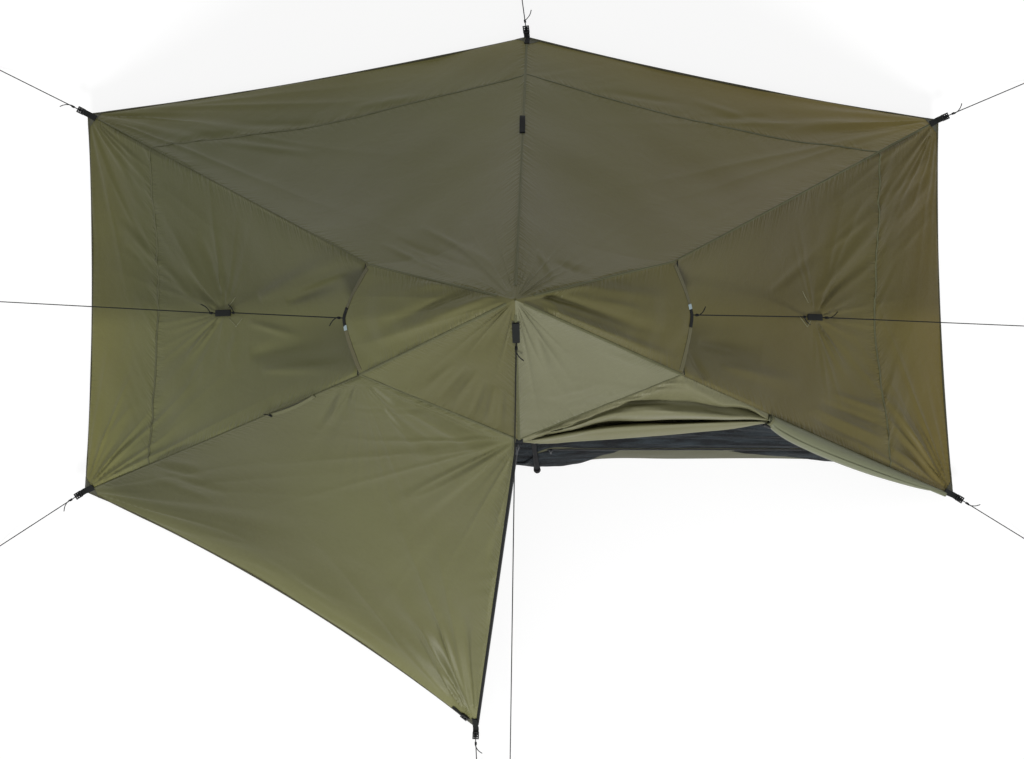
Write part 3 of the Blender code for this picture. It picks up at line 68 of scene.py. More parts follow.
def from_picture(column, row, height):
    """World point that the camera sees at a picture place: pixels / focal * (eye height - height) / eye
    height."""
    reach = (EYE[2] - height) / EYE[2] / FOCAL
    return np.stack((EYE[0] + (column - PICTURE_CENTRE[0]) * reach,
                     EYE[1] + (PICTURE_CENTRE[1] - row) * reach,
                     np.broadcast_to(height, np.shape(reach * column))), axis=-1)


def seen_at(points):
    """Picture column and row of world points, the other way round: pixels = offset * focal * 5 / depth."""
    scale = FOCAL * EYE[2] / (EYE[2] - points[..., 2])
    return np.stack((PICTURE_CENTRE[0] + (points[..., 0] - EYE[0]) * scale,
                     PICTURE_CENTRE[1] - (points[..., 1] - EYE[1]) * scale), axis=-1)


print("camera height", EYE[2], "pixels for a metre on the ground", FOCAL)

# %% [markdown]
# ## Colours and the first helpers
# Colours are written as the 8-bit numbers that a screen shows and turned into the linear values that shaders
# use. A point of the tent is a numpy row of three numbers, so whole seams and panels are worked out at once.

# %% Colour and vector helpers
TAU = 2.0 * math.pi
UP = np.array((0.0, 0.0, 1.0))
INSIDE = np.array((0.0, 0.0, 0.35))
WHITE = (1.0, 1.0, 1.0, 1.0)
# Gap that keeps two pieces from sharing a surface
SURFACE_GAP = 0.0002


def srgb(red, green, blue):
    """Linear colour of a screen colour: shares up to 0.04045 are divided by 12.92, others follow the 2.4
    power."""
    shares = np.array((red, green, blue)) / 255.0
    linear = np.where(shares <= 0.04045, shares / 12.92, ((shares + 0.055) / 1.055) ** 2.4)
    return (*linear.tolist(), 1.0)


def unit(vectors):
    """Vectors divided by their lengths, along the last axis."""
    return vectors / np.maximum(np.linalg.norm(vectors, axis=-1, keepdims=True), 1e-12)


def towards(vector, direction):
    """The vector, or its opposite where it points away from direction."""
    return vector if np.dot(vector, direction) > 0.0 else -vector


def smooth(values):
    """Smooth step: 0 below 0, 1 above 1, and 3x^2 - 2x^3 between."""
    clipped = np.clip(values, 0.0, 1.0)
    return clipped * clipped * (3.0 - 2.0 * clipped)


def bell(values):
    """Bell curve exp(-x^2), for a single rounded fold."""
    return np.exp(-values * values)


def run_of(points, axis=0):
    """Distance of each point along its line, from the line's first point: the sum of the steps before it."""
    steps = np.linalg.norm(np.diff(points, axis=axis), axis=-1)
    start = np.zeros_like(np.take(steps, [0], axis=axis))
    return np.concatenate((start, np.cumsum(steps, axis=axis)), axis=axis)


def between(wanted, marks, points):
    """Points of a line at the wanted marks, straight between its own points."""
    return np.column_stack([np.interp(wanted, marks, points[:, k]) for k in range(3)])


print("olive in linear light", [round(x, 3) for x in srgb(96, 98, 70)])

# %% [markdown]
# ## Turning a grid of points into a piece
# Nearly everything here is a surface with two parameters, so one helper makes a mesh from a grid of points:
# it joins neighbouring points into four-sided faces, and can close the grid round a tube. Distances in
# metres go into a UV map, so that a weave keeps its scale wherever the cloth bends.

# %% Mesh helpers
def grid_faces(rows, columns, around=False):
    """Corners of the quads between neighbouring points, row by row; around also joins last to first
    column."""
    across = columns if around else columns - 1
    r, c = np.meshgrid(np.arange(rows - 1), np.arange(across), indexing="ij")
    near = r * columns + c
    far = r * columns + (c + 1) % columns
    return np.stack((near, far, far + columns, near + columns), axis=-1).reshape(-1, 4)


def tube_faces(rows, columns):
    """Quads of a grid closed round a tube, and a cap at each end."""
    caps = [list(range(columns))[::-1], [(rows - 1) * columns + i for i in range(columns)]]
    return grid_faces(rows, columns, True).tolist() + caps


def mesh_from(name, points, faces, uv=None):
    """Mesh data from arrays: points (n, 3), faces (m, 4) or a list, and one uv pair for each point."""
    data = bpy.data.meshes.new(name)
    data.from_pydata(points.reshape(-1, 3).tolist(), [], [list(face) for face in faces])
    if uv is not None:
        layer = data.uv_layers.new(name="cloth")
        corners = np.zeros(len(data.loops), np.int32)
        data.loops.foreach_get("vertex_index", corners)
        layer.data.foreach_set("uv", uv.reshape(-1, 2)[corners].astype(np.float32).ravel())
    data.shade_smooth()
    return data


def grid_mesh(name, grid, uv=None, around=False):
    """Mesh of a grid of points, whose UV is the run across and the run down unless another is given."""
    uv = np.stack((run_of(grid, 1), run_of(grid, 0)), axis=-1) if uv is None else uv
    return mesh_from(name, grid, grid_faces(*grid.shape[:2], around), uv)


def add_piece(name, data, slot, finish, *nodes):
    """Link a piece that stays with the tent, give it its material, and hide the CAD nodes it stands for.
    Its slot is not used."""
    piece = bpy.data.objects.new(name, data)
    bpy.context.scene.collection.objects.link(piece)
    data.materials.clear()
    data.materials.append(finish)
    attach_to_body(piece, "tent")
    if nodes:
        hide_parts(*nodes)
    return piece


def thicken(piece, thickness, offset=-1.0):
    """Give an open sheet its cloth thickness, on its inner side unless told otherwise."""
    wall = piece.modifiers.new("thickness", "SOLIDIFY")
    wall.thickness = thickness
    wall.offset = offset
    return piece


def faces_out(data, outward):
    """Turn the faces so that their area-weighted normal points along outward."""
    filled = bmesh.new()
    filled.from_mesh(data)
    total = sum((face.normal * face.calc_area() for face in filled.faces), Vector())
    if total.dot(Vector(outward)) < 0.0:
        bmesh.ops.reverse_faces(filled, faces=filled.faces)
    filled.to_mesh(data)
    filled.free()
    return data


def surface(name, grid, slot, finish, *nodes, uv=None, around=False, outward=None, thickness=None):
    """Piece from a grid of points, turned outward and thickened where that is asked for."""
    data = grid_mesh(name, grid, uv, around)
    piece = add_piece(name, data if outward is None else faces_out(data, outward), slot, finish, *nodes)
    return piece if thickness is None else thicken(piece, thickness)


def tube(name, path, radii, sides=10):
    """Closed tube round a path: a circle of its radius at each point, square to the path, carried without
    twist."""
    path = np.asarray(path, dtype=float)
    radii = np.broadcast_to(np.asarray(radii, dtype=float), (len(path),))
    runs = unit(np.gradient(path, axis=0))
    side = unit(np.cross(runs[0], UP if abs(runs[0][2]) < 0.9 else np.array((1.0, 0.0, 0.0))))
    carried = []
    for run in runs:
        side = unit(side - np.dot(side, run) * run)
        carried.append(side)
    first = np.array(carried)
    second = np.cross(runs, first)
    turn = np.linspace(0.0, TAU, sides, endpoint=False)
    ring = first[:, None] * np.cos(turn)[None, :, None] + second[:, None] * np.sin(turn)[None, :, None]
    uv = np.stack(np.meshgrid(turn / TAU, run_of(path), indexing="xy"), axis=-1)
    return mesh_from(name, path[:, None] + radii[:, None, None] * ring, tube_faces(len(path), sides), uv)


def smooth_path(points, spacing):
    """Evenly spaced points on a smooth curve through the given ones: each span is a cubic through its
    neighbours."""
    points = np.asarray(points, dtype=float)
    more = np.vstack((2.0 * points[0] - points[1], points, 2.0 * points[-1] - points[-2]))
    t = np.linspace(0.0, 1.0, 24, endpoint=False)[:, None]
    spans = []
    for i in range(1, len(more) - 2):
        p0, p1, p2, p3 = more[i - 1:i + 3]
        spans.append(0.5 * (2.0 * p1 + (p2 - p0) * t + (2.0 * p0 - 5.0 * p1 + 4.0 * p2 - p3) * t ** 2
                            + (3.0 * p1 - p0 - 3.0 * p2 + p3) * t ** 3))
    dense = np.vstack(spans + [points[-1:]])
    run = run_of(dense)
    return between(np.linspace(0.0, run[-1], max(4, int(round(run[-1] / spacing))) + 1), run, dense)


print("helpers ready")

# %% [markdown]
# ## Materials from nodes
# Each material is a Principled shader fed by small node networks. Effects that several finishes share, such
# as the weave of cloth and slow changes of colour, are node groups with named inputs and outputs. A group
# gives out only values, and the shader stays in the material. Sums of values are written as sums: a Signal
# is a node's output, and each + - * or / on it adds a Math node.

# %% Node helpers
class Signal:
    """A node's output; arithmetic on it adds Math nodes to its tree."""

    def __init__(self, socket):
        self.socket = socket
        self.tree = socket.id_data

    def math(self, operation, *others):
        """A Math node of this kind on this signal and the others."""
        return node(self.tree, "ShaderNodeMath", dict(enumerate((self, *others))), operation=operation)[0]

    def __add__(self, other):
        return self.math("ADD", other)

    def __sub__(self, other):
        return self.math("SUBTRACT", other)

    def __mul__(self, other):
        return self.math("MULTIPLY", other)

    def __truediv__(self, other):
        return self.math("DIVIDE", other)


class Outputs:
    """The outputs of a node as signals, by name or number."""

    def __init__(self, made):
        self.made = made

    def __getitem__(self, key):
        return Signal(self.made.outputs[key])


def fill(made, values):
    """Put numbers and colours into a node's inputs, and link signals to theirs."""
    for key, value in values.items():
        if isinstance(value, Signal):
            value.tree.links.new(value.socket, made.inputs[key])
        else:
            made.inputs[key].default_value = value


def node(tree, kind, values=None, **settings):
    """Add a node, set its properties, fill its inputs and give its outputs."""
    made = tree.nodes.new(kind)
    for key, value in settings.items():
        setattr(made, key, value)
    fill(made, values or {})
    return Outputs(made)


def mix(share, first, second, **settings):
    """Two colours mixed by a share."""
    return node(share.tree, "ShaderNodeMix", {"Factor": share, "A": first, "B": second}, data_type="RGBA",
                **settings)["Result"]


def ramp(value, low, high, **settings):
    """0 where a value is low and 1 where it is high."""
    values = {"Value": value, "From Min": low, "From Max": high}
    return node(value.tree, "ShaderNodeMapRange", values, **settings)[0]


def cloud(place, scale, detail, **more):
    """Noise from 0 to 1 over a place."""
    values = {"Vector": place, "Scale": scale, "Detail": detail}
    return node(place.tree, "ShaderNodeTexNoise", values | more)["Fac"]


def bump(height, distance, strength, under=None):
    """Normal that follows a height, on top of another normal if one is given."""
    values = {"Height": height, "Distance": distance, "Strength": strength}
    return node(height.tree, "ShaderNodeBump", values | ({"Normal": under} if under else {}))[0]


def axes(vector):
    """The x, y and z of a vector."""
    return node(vector.tree, "ShaderNodeSeparateXYZ", {0: vector})


def new_group(name, vector, numbers, results):
    """Node group with a vector input, number inputs with their first values, and number outputs."""
    group = bpy.data.node_groups.new(name, "ShaderNodeTree")
    group.interface.new_socket(vector, in_out="INPUT", socket_type="NodeSocketVector")
    for label, value in numbers.items():
        group.interface.new_socket(label, in_out="INPUT", socket_type="NodeSocketFloat").default_value = value
    for label in results:
        group.interface.new_socket(label, in_out="OUTPUT", socket_type="NodeSocketFloat")
    return group, Outputs(group.nodes.new("NodeGroupInput")), group.nodes.new("NodeGroupOutput")


def on_cloth(tree):
    """Place on a piece's own UV, in metres."""
    return node(tree, "ShaderNodeUVMap", uv_map="cloth")[0]


def in_tent(tree):
    """Place in object coordinates, which all the pieces share."""
    return node(tree, "ShaderNodeTexCoord")["Object"]


def new_material(name):
    """New material, its node tree and its Principled shader."""
    made = bpy.data.materials.new(name)
    made.use_nodes = True
    return made, made.node_tree, made.node_tree.nodes["Principled BSDF"]


# %% Shared effects: ripstop weave, mottling, webbing
def weave_group():
    """Ripstop cloth: fine threads, and a thicker thread every few millimetres both ways; height and a
    mask."""
    group, start, end = new_group("ripstop_weave", "Cloth", {"Square": 0.005}, ("Height", "Grid"))
    parts = axes(start["Cloth"])
    lines = []
    for axis in (0, 1):
        from_middle = ((parts[axis] / start["Square"]).math("FRACT") - 0.5).math("ABSOLUTE")
        lines.append(((from_middle - 0.42) * 12.0).math("SMOOTH_MIN", 1.0, 0.1))
    grid = lines[0].math("MAXIMUM", lines[1]).math("MAXIMUM", 0.0)
    threads = node(group, "ShaderNodeTexWave", {"Vector": start["Cloth"], "Scale": 900.0, "Distortion": 0.6,
                   "Detail": 1.0}, wave_type="BANDS", bands_direction="DIAGONAL")["Fac"]
    fill(end, {"Height": threads * 0.25 + grid, "Grid": grid})
    return group


def mottle_group():
    """Slow change of shade over cloth: broad and fine noise added, centred on nought."""
    group, start, end = new_group("mottling", "Place", {"Broad": 2.0, "Fine": 60.0}, ("Shade",))
    broad, fine = cloud(start["Place"], start["Broad"], 3.0), cloud(start["Place"], start["Fine"], 4.0)
    fill(end, {"Shade": broad * 0.7 + fine * 0.3 - 0.5})
    return group


def braid_group():
    """Braid or webbing: two sets of slanting strands over a UV in metres; height from 0 to 1."""
    group, start, end = new_group("braid", "Cloth", {"Across": 8.0, "Along": 400.0}, ("Height",))
    parts = axes(start["Cloth"])
    across, down = parts[0] * start["Across"], parts[1] * start["Along"]
    one, two = ((slant * TAU).math("SINE") for slant in (across + down, across - down))
    fill(end, {"Height": one.math("MAXIMUM", two) * 0.5 + 0.5})
    return group


WEAVE = weave_group()
MOTTLE = mottle_group()
BRAID = braid_group()
print("groups", [group.name for group in (WEAVE, MOTTLE, BRAID)])

# %% [markdown]
# ## Cords first
# Guylines are braided cord, three millimetres thick, and a taut line is straight. Each one leaves a line-lock
# or a webbing loop and runs to the ground, where it ends in a tied loop for its peg. A cord is a tube round
# its route. A knot is three turns of cord round the line and a loose tail.

# %% Cord material
CORD_RADIUS = 0.0015


def strand_material(name, dark, light, across=300.0, down=300.0, relief=0.0003, strength=0.7, roughness=0.75):
    """Braided sheath or flat webbing: slanting strands over the piece's own UV, dark between and light on
    top."""
    made, tree, shader = new_material(name)
    strands = node(tree, "ShaderNodeGroup", {"Cloth": on_cloth(tree), "Across": across, "Along": down},
                   node_tree=BRAID)["Height"]
    fill(shader, {"Base Color": mix(strands, dark, light), "Normal": bump(strands, relief, strength),
                  "Roughness": roughness, "Specular IOR Level": 0.2})
    return made


CORD = strand_material("black_cord", srgb(8, 9, 9), srgb(30, 32, 33), 6.0, 420.0, 0.0004, 0.8, 0.8)
print("material", CORD.name)

# %% Knots
KNOT_TURNS = 3
KNOT_LENGTH = 0.0085
KNOT_RADIUS = 0.0024
TAIL_RADIUS = 0.00135
TAIL_TIP_RADIUS = 0.0016


def knot(name, centre, direction, tail_direction, tail):
    """Turns of cord round the line, a helix, whose end runs off as a curved loose tail of the given
    length."""
    direction, tail_direction = unit(np.array(direction)), unit(np.array(tail_direction))
    first = unit(np.cross(direction, UP))
    second = np.cross(direction, first)
    turn = np.linspace(0.0, KNOT_TURNS * TAU, 46)[:, None]
    helix = (centre + direction * ((turn / (KNOT_TURNS * TAU) - 0.5) * KNOT_LENGTH)
             + KNOT_RADIUS * (first * np.cos(turn) + second * np.sin(turn)))
    share = np.linspace(0.08, 1.0, 14)[:, None]
    loose = helix[-1] + tail * (tail_direction * share + 0.22 * UP * share * (1.0 - share)
                                + 0.10 * np.cross(tail_direction, UP) * np.sin(3.0 * share))
    path = smooth_path(np.vstack((helix[::3], loose)), 0.0016)
    radii = np.full(len(path), TAIL_RADIUS)
    radii[-1] = TAIL_TIP_RADIUS
    return add_piece(name, tube(name, path, radii, 8), "cord", CORD)


# %% Guyline routes, as in the CAD model
GUY_LIFT = CORD_RADIUS + SURFACE_GAP
PEG_LOOP = ((0.0, 0.0), (0.008, 0.004), (0.020, 0.013), (0.036, 0.016), (0.049, 0.009), (0.053, -0.003),
            (0.045, -0.013), (0.030, -0.016), (0.016, -0.011), (0.007, -0.0055))
# Where each line leaves its line-lock or loop, and where it meets the ground
GUYLINES = {
    "guy_back": ((0.03482, 0.90205, 0.0516), (0.021, 1.018)),
    "guy_back_left": ((-1.34251, 0.64591, 0.0516), (-1.622, 0.787)),
    "guy_back_right": ((1.33540, 0.62602, 0.0516), (1.608, 0.744)),
    "guy_front_left": ((-1.34988, -0.54780, 0.0516), (-1.622, -0.719)),
    "guy_front_right": ((1.37934, -0.55904, 0.0516), (1.608, -0.695)),
    "guy_door": ((-0.11890, -1.29199, 0.05122), (-0.116, -1.390)),
    "guy_peak": ((0.00320, -0.09898, 1.15125), (-0.013, -1.390)),
    "guy_left": ((-0.85771, 0.00410, 0.37888), (-1.622, 0.057)),
    "guy_right": ((0.88372, -0.00782, 0.37599), (1.608, -0.021)),
}
VENT_CORDS = {
    "vent_cord_left": ((-0.44575, -0.02685, 0.83244), (-0.80911, 0.00421, 0.41660)),
    "vent_cord_right": ((0.46266, -0.01893, 0.83249), (0.83515, -0.00782, 0.41426)),
}
STRAIGHT_POINTS = 24
KNOT_FROM_END = 0.016


def guy_route(start, end_plan):
    """Straight from start to the ground, then a smooth loop in the line's own direction."""
    start = np.array(start)
    end = np.array((*end_plan, GUY_LIFT))
    ahead = unit((end - start) * (1.0, 1.0, 0.0))
    side = np.cross(UP, ahead)
    loop = np.array([end + ahead * forward + side * across for forward, across in PEG_LOOP])
    return np.vstack((np.linspace(start, end, STRAIGHT_POINTS)[:-1], smooth_path(loop, 0.004)))


def hang_line(name, path):
    line = add_piece(name + "_line", tube(name, path, CORD_RADIUS, 10), "cord", CORD, name)


for name, (start, end_plan) in GUYLINES.items():
    path = guy_route(start, end_plan)
    run = unit(path[20] - path[0])
    aside = unit(np.cross(UP, run)) * (-1.0 if name in ("guy_back", "guy_left") else 1.0)
    near = knot(name + "_knot", path[0] + run * KNOT_FROM_END, run, 0.75 * run + 0.45 * aside, 0.040)
    peg = knot(name + "_peg_knot", path[STRAIGHT_POINTS - 1], run, -0.6 * run + 0.6 * aside, 0.030)
    hang_line(name, path)

for name, (start, end) in VENT_CORDS.items():
    path = np.linspace(start, end, STRAIGHT_POINTS)
    run = unit(path[-1] - path[0])
    aside = unit(np.cross(UP, run))
    near = knot(name + "_knot", path[0] + run * KNOT_FROM_END, run, 0.7 * run + 0.5 * aside, 0.042)
    far = knot(name + "_loop_knot", path[-1] - run * KNOT_FROM_END, -run, 0.7 * run - 0.5 * aside, 0.042)
    hang_line(name, path)

# %% [markdown]
# ## The seams of the fly
# A fly is cut from flat panels, so its seams fix its shape. Each ridge is straight from the peak to its vent
# corner and sags a little from there to the hem. A panel between four seams is a Coons patch: the two
# surfaces ruled between opposite edges are added, and the bilinear surface of the four corners is taken
# away.

# %% Corner points
PEAK = np.array((0.0, 0.0, 1.240))
DOOR_TOP = np.array((0.011, -0.340, 0.900))
HEM_HEIGHT = 0.050
HEM = {name: np.array((*plan, HEM_HEIGHT)) for name, plan in {
    "back": (0.039, 0.867), "back_left": (-1.311, 0.630), "front_left": (-1.320, -0.529),
    "door": (-0.112, -1.257), "front_right": (1.349, -0.541), "back_right": (1.303, 0.612)}.items()}
VENT = {name: np.array(place) for name, place in {
    "back_left": (-0.377, 0.111, 0.860), "front_left": (-0.400, -0.174, 0.840),
    "back_right": (0.412, 0.119, 0.860), "front_right": (0.432, -0.174, 0.840),
    "left": (-0.445, -0.027, 0.830), "right": (0.462, -0.019, 0.830)}.items()}
BACK_SEAM_BREAK = 0.370
VENT["back"] = PEAK + BACK_SEAM_BREAK * unit(HEM["back"] - PEAK)
RIDGE_SAG = 0.020
SIDE_HEM_CURVE = 0.017
BACK_HEM_CURVE = 0.016
DOOR_HEM_CURVE = 0.045
BACK_PANEL_SAG = 0.030
DOOR_PANEL_SAG = 0.030
FRONT_PANEL_SAG = 0.008
HOOD_SWELL = 0.010
VENT_MOUTH = 0.070
VENT_SILL_STEP = 0.012
PEAK_SEAM_SAG = 0.012
PEAK_OPENING = 0.003
PEAK_PANEL_START = 0.062
BAND_HEIGHT = 0.240
UPPER_ROWS = 4
BAND_ROWS = 6
HEM_ROWS = 2
LOWER_ROWS = BAND_ROWS + HEM_ROWS
CLOTH_THICKNESS = 0.0005
print("corners", {name: place.round(3).tolist() for name, place in HEM.items()})


# %% Seam curves, by row number
def along(start, end, shares, bow=(0.0, 0.0, 0.0)):
    """Points at these shares of the way, with a parabola 4s(1-s) times bow added."""
    shares = np.asarray(shares)[:, None]
    return start + (end - start) * shares + 4.0 * shares * (1.0 - shares) * np.asarray(bow)


def upper_line(end, rows):
    """Straight from the opening at the peak, row 0, to a vent corner, row 4."""
    length = np.linalg.norm(end - PEAK)
    shares = np.append(PEAK_OPENING / length, np.linspace(PEAK_PANEL_START / length, 1.0, UPPER_ROWS))
    return along(PEAK, end, np.interp(rows, np.arange(UPPER_ROWS + 1), shares))


def lower_shares(start, end):
    """Shares of the way down a sagging ridge: six even steps to the band's height, then two to the hem."""
    fall = end[2] - start[2] - 4.0 * RIDGE_SAG
    band = (-fall - math.sqrt(fall * fall - 16.0 * RIDGE_SAG * (start[2] - BAND_HEIGHT))) / (8.0 * RIDGE_SAG)
    return np.append(np.linspace(0.0, band, BAND_ROWS + 1), np.linspace(band, 1.0, HEM_ROWS + 1)[1:])


def lower_line(corner, rows, start=None, end=None, sag=RIDGE_SAG):
    """From a vent corner, row 0, past the band, row 6, to the hem, row 8, sagging in a parabola."""
    shares = np.interp(rows, np.arange(LOWER_ROWS + 1), lower_shares(VENT[corner], HEM[corner]))
    return along(VENT[corner] if start is None else start, HEM[corner] if end is None else end, shares,
                 (0.0, 0.0, -sag))


def whole_line(corner, rows):
    """Ridge from the peak's opening, row 0, through the vent corner, row 4, to the hem, row 12."""
    upper = upper_line(VENT[corner], np.minimum(rows, UPPER_ROWS))
    lower = lower_line(corner, np.maximum(rows - UPPER_ROWS, 0.0))
    return np.where((rows < UPPER_ROWS)[:, None], upper, lower)


def hem_line(start, end, curve, shares):
    """Hem between two corners, cut in an inward parabola."""
    run = end - start
    inward = towards(unit(np.array((-run[1], run[0], 0.0))), -0.5 * (start + end))
    return along(start, end, shares, inward * curve)


def peak_seam(corner, shares):
    """Seam from a front vent corner to the door's peak, with a slight sag."""
    return along(VENT[corner], DOOR_TOP, shares, (0.0, 0.0, -PEAK_SEAM_SAG))


def coons(top, bottom, left, right, across, down):
    """Ruled between rows plus ruled between columns less the bilinear surface of the corners."""
    u = np.asarray(across)[None, :, None]
    v = np.asarray(down)[:, None, None]
    corners = ((1.0 - u) * (1.0 - v) * top[0] + u * (1.0 - v) * top[-1]
               + (1.0 - u) * v * bottom[0] + u * v * bottom[-1])
    return (1.0 - v) * top[None] + v * bottom[None] + (1.0 - u) * left[:, None] + u * right[:, None] - corners


def share_of_way(line, rows):
    """Share of a coarse line's length at each row number."""
    run = run_of(line)
    return np.interp(rows, np.arange(len(line)), run / run[-1])


def facing(grid):
    """Mean outward normal of a panel, from its diagonals."""
    normal = unit(np.cross(grid[-1, -1] - grid[0, 0], grid[-1, 0] - grid[0, -1]))
    return towards(normal, grid[grid.shape[0] // 2, grid.shape[1] // 2] - INSIDE)


print("back seam breaks at", VENT["back"].round(3).tolist())

# %% [markdown]
# ## Folds that follow the cloth
# Stretched cloth is never quite smooth. It puckers along its sewn seams, it rises in folds that fan out from
# each point where it is pulled, and a few long creases run across it. Each effect below is a height over the
# panel, and the sum is pushed out along the panel's normals. All of them fade to nothing at the seams, so
# panels still meet.

# %% Noise and a panel that knows its edges
LATTICE = np.random.default_rng(11).random((8, 64, 64))
EDGE_HOLD = 0.012
# Pleats: strength at left, right, top, bottom and band seam, their reach, and what the peak adds to both
PLEAT_WEIGHTS = (1.0, 1.0, 0.8, 0.6, 1.0)
PLEAT_REACH = 0.022
PEAK_REACH = 0.030
PEAK_FADE = 0.10
PEAK_GAIN = 1.8


def noise(x, y, layer=0):
    """Value noise from 0 to 1: seeded random numbers on a square lattice, joined by smooth steps."""
    x, y = np.broadcast_arrays(np.asarray(x, dtype=float), np.asarray(y, dtype=float))
    i, j = np.floor(x).astype(int), np.floor(y).astype(int)
    fx, fy = smooth(x - i), smooth(y - j)
    table = LATTICE[layer % len(LATTICE)]
    low = table[i % 64, j % 64] * (1.0 - fx) + table[(i + 1) % 64, j % 64] * fx
    high = table[i % 64, (j + 1) % 64] * (1.0 - fx) + table[(i + 1) % 64, (j + 1) % 64] * fx
    return low * (1.0 - fy) + high * fy


def normals_of(grid):
    """Unit normals: the steps down crossed with the steps across, turned away from the tent's inside."""
    normals = unit(np.cross(np.gradient(grid, axis=0), np.gradient(grid, axis=1)))
    middle = (grid.shape[0] // 2, grid.shape[1] // 2)
    return normals if np.dot(normals[middle], grid[middle] - INSIDE) > 0.0 else -normals


class Cloth:
    """A panel as a grid of points, with their normals and their distances from the four edges in metres."""

    def __init__(self, points, band_row=None):
        self.points = points
        self.normals = normals_of(points)
        across, down = run_of(points, 1), run_of(points, 0)
        self.left, self.right = across, across[:, -1:] - across
        self.top, self.bottom = down, down[-1:] - down
        self.band_row = band_row
        self.below_band = down - down[band_row] if band_row else np.full(down.shape, -1.0)

    def pleats(self):
        """For each point the run along its nearest seam, its distance and the seam's strength, most at the
        peak."""
        # The whole metres added to the runs keep the folds of different seams unlike
        seams = [(self.left, self.top), (self.right, self.top + 3.0), (self.top, self.left + 6.0),
                 (self.bottom, self.left + 9.0)]
        if self.band_row:
            seams.append((np.abs(self.below_band), self.left + np.where(self.below_band > 0.0, 12.0, 15.0)))
        aside, along_run = (np.stack(values) for values in zip(*seams))
        gathered = np.exp(-np.linalg.norm(self.points - PEAK, axis=-1) / PEAK_FADE)
        strength = np.array(PLEAT_WEIGHTS[:len(seams)])[:, None, None]
        reach = PLEAT_REACH + PEAK_REACH * gathered
        strength = strength * np.exp(-aside / reach) * (1.0 + PEAK_GAIN * gathered)
        pick = strength.argmax(axis=0)[None]
        first, second = np.sort(strength, axis=0)[[-1, -2]]
        lead = PLEAT_REACH * np.log(first / np.maximum(second, 1e-12))
        tables = (along_run, aside, strength * smooth((lead - 0.014) / 0.030))
        return np.stack([np.take_along_axis(table, pick, axis=0)[0] for table in tables], axis=-1)

    def raised(self, height):
        """The panel pushed out by height along its normals, held at its four edges."""
        hold = smooth(self.left / EDGE_HOLD) * smooth(self.right / EDGE_HOLD)
        hold = hold * smooth(self.top / EDGE_HOLD) * smooth(self.bottom / EDGE_HOLD)
        return Cloth(self.points + (height * hold)[..., None] * self.normals, self.band_row)


def fine_rows(line, spacing):
    """Row numbers that keep the whole ones and cut each stretch of the line to about this spacing."""
    steps = np.linalg.norm(np.diff(line, axis=0), axis=1)
    parts = [np.linspace(k, k + 1.0, max(2, round(step / spacing)), endpoint=False)
             for k, step in enumerate(steps)]
    return np.append(np.concatenate(parts), float(len(steps)))


def fine_across(width, spacing):
    """Shares across a panel, closer together near both seams: a mix of an even and a cosine spacing."""
    even = np.linspace(0.0, 1.0, max(8, round(width / spacing)) + 1)
    return 0.65 * even + 0.35 * 0.5 * (1.0 - np.cos(math.pi * even))


def row_index(rows, number):
    """Position of the row whose number is nearest to this one."""
    return int(np.argmin(np.abs(rows - number)))


print("lattice", LATTICE.shape)


# %% Effects: puckers, fans, creases and slack
def puckers(beside, along_seam, height, wave, decay, slant=0.0, layer=0):
    """Gathers square to a seam: noise along it, in groups, dying away exponentially beside it."""
    place = (along_seam + slant * beside) / wave
    ripple = 2.0 * noise(place, beside / (4.0 * wave), layer) - 1.0
    groups = 0.3 + 0.7 * noise(along_seam / (6.0 * wave), 0.5, layer + 1)
    return height * ripple * groups * np.exp(-beside / decay)


def fan(points, centre, toward, height, step, reach, spread=60.0, layer=0):
    """Folds that fan out from a pulled point: crests of noise over the angle round it in plan, in degrees."""
    offset = points[..., :2] - np.asarray(centre)[:2]
    toward = unit(np.asarray(toward, dtype=float)[:2])
    ahead = offset @ toward
    aside = offset @ np.array((-toward[1], toward[0]))
    distance = np.hypot(ahead, aside)
    angle = np.degrees(np.arctan2(aside, ahead))
    crest = 1.0 - np.abs(2.0 * noise(angle / step + 31.5, distance / (1.5 * reach), layer) - 1.0)
    rise = smooth(distance / (0.22 * reach)) * np.exp(-(distance / reach) ** 2)
    return height * (crest ** 1.6 - 0.4) * rise * np.exp(-(angle / spread) ** 2)


def drawn(cloth, lines, least=3.2):
    """Folds along picture lines (column, row to column, row, millimetres, pixels): a bell across, fading
    at the ends."""
    seen = seen_at(cloth.points)
    total = np.zeros(seen.shape[:2])
    for c0, r0, c1, r1, height, width in lines:
        run = np.array((c1 - c0, r1 - r0), dtype=float)
        length = np.linalg.norm(run)
        run = run / length
        offset = seen - (c0, r0)
        share = np.clip(offset @ run / length, 0.0, 1.0)
        aside = offset @ np.array((-run[1], run[0]))
        body = np.sin(math.pi * share ** 0.8) ** 0.8
        wide = width * (0.40 + 0.60 * share)
        total += 0.001 * height * body * np.minimum(wide / least, 1.0) * bell(aside / np.maximum(wide, least))
    return total


def slack(cloth, height, size, layer=0):
    """Broad unevenness: two octaves of noise over the panel, measured in metres."""
    x, y = cloth.left / size, cloth.top / size
    broad = noise(x, y, layer) + 0.5 * noise(2.1 * x + 9.0, 2.1 * y, layer + 1) - 0.75
    return height * broad


print("effects ready")

# %% [markdown]
# ## The fly's panels
# Each panel is worked out from its four seams on a grid with a point every five to eight millimetres, then
# raised by its own folds. The numbers of the effects come from the photograph: the lower band puckers most,
# the door is pulled from its bottom corner and from its peak, and the side panels from their guyline loops.

# %% Smooth panels from their seams
SPACING = 0.0078


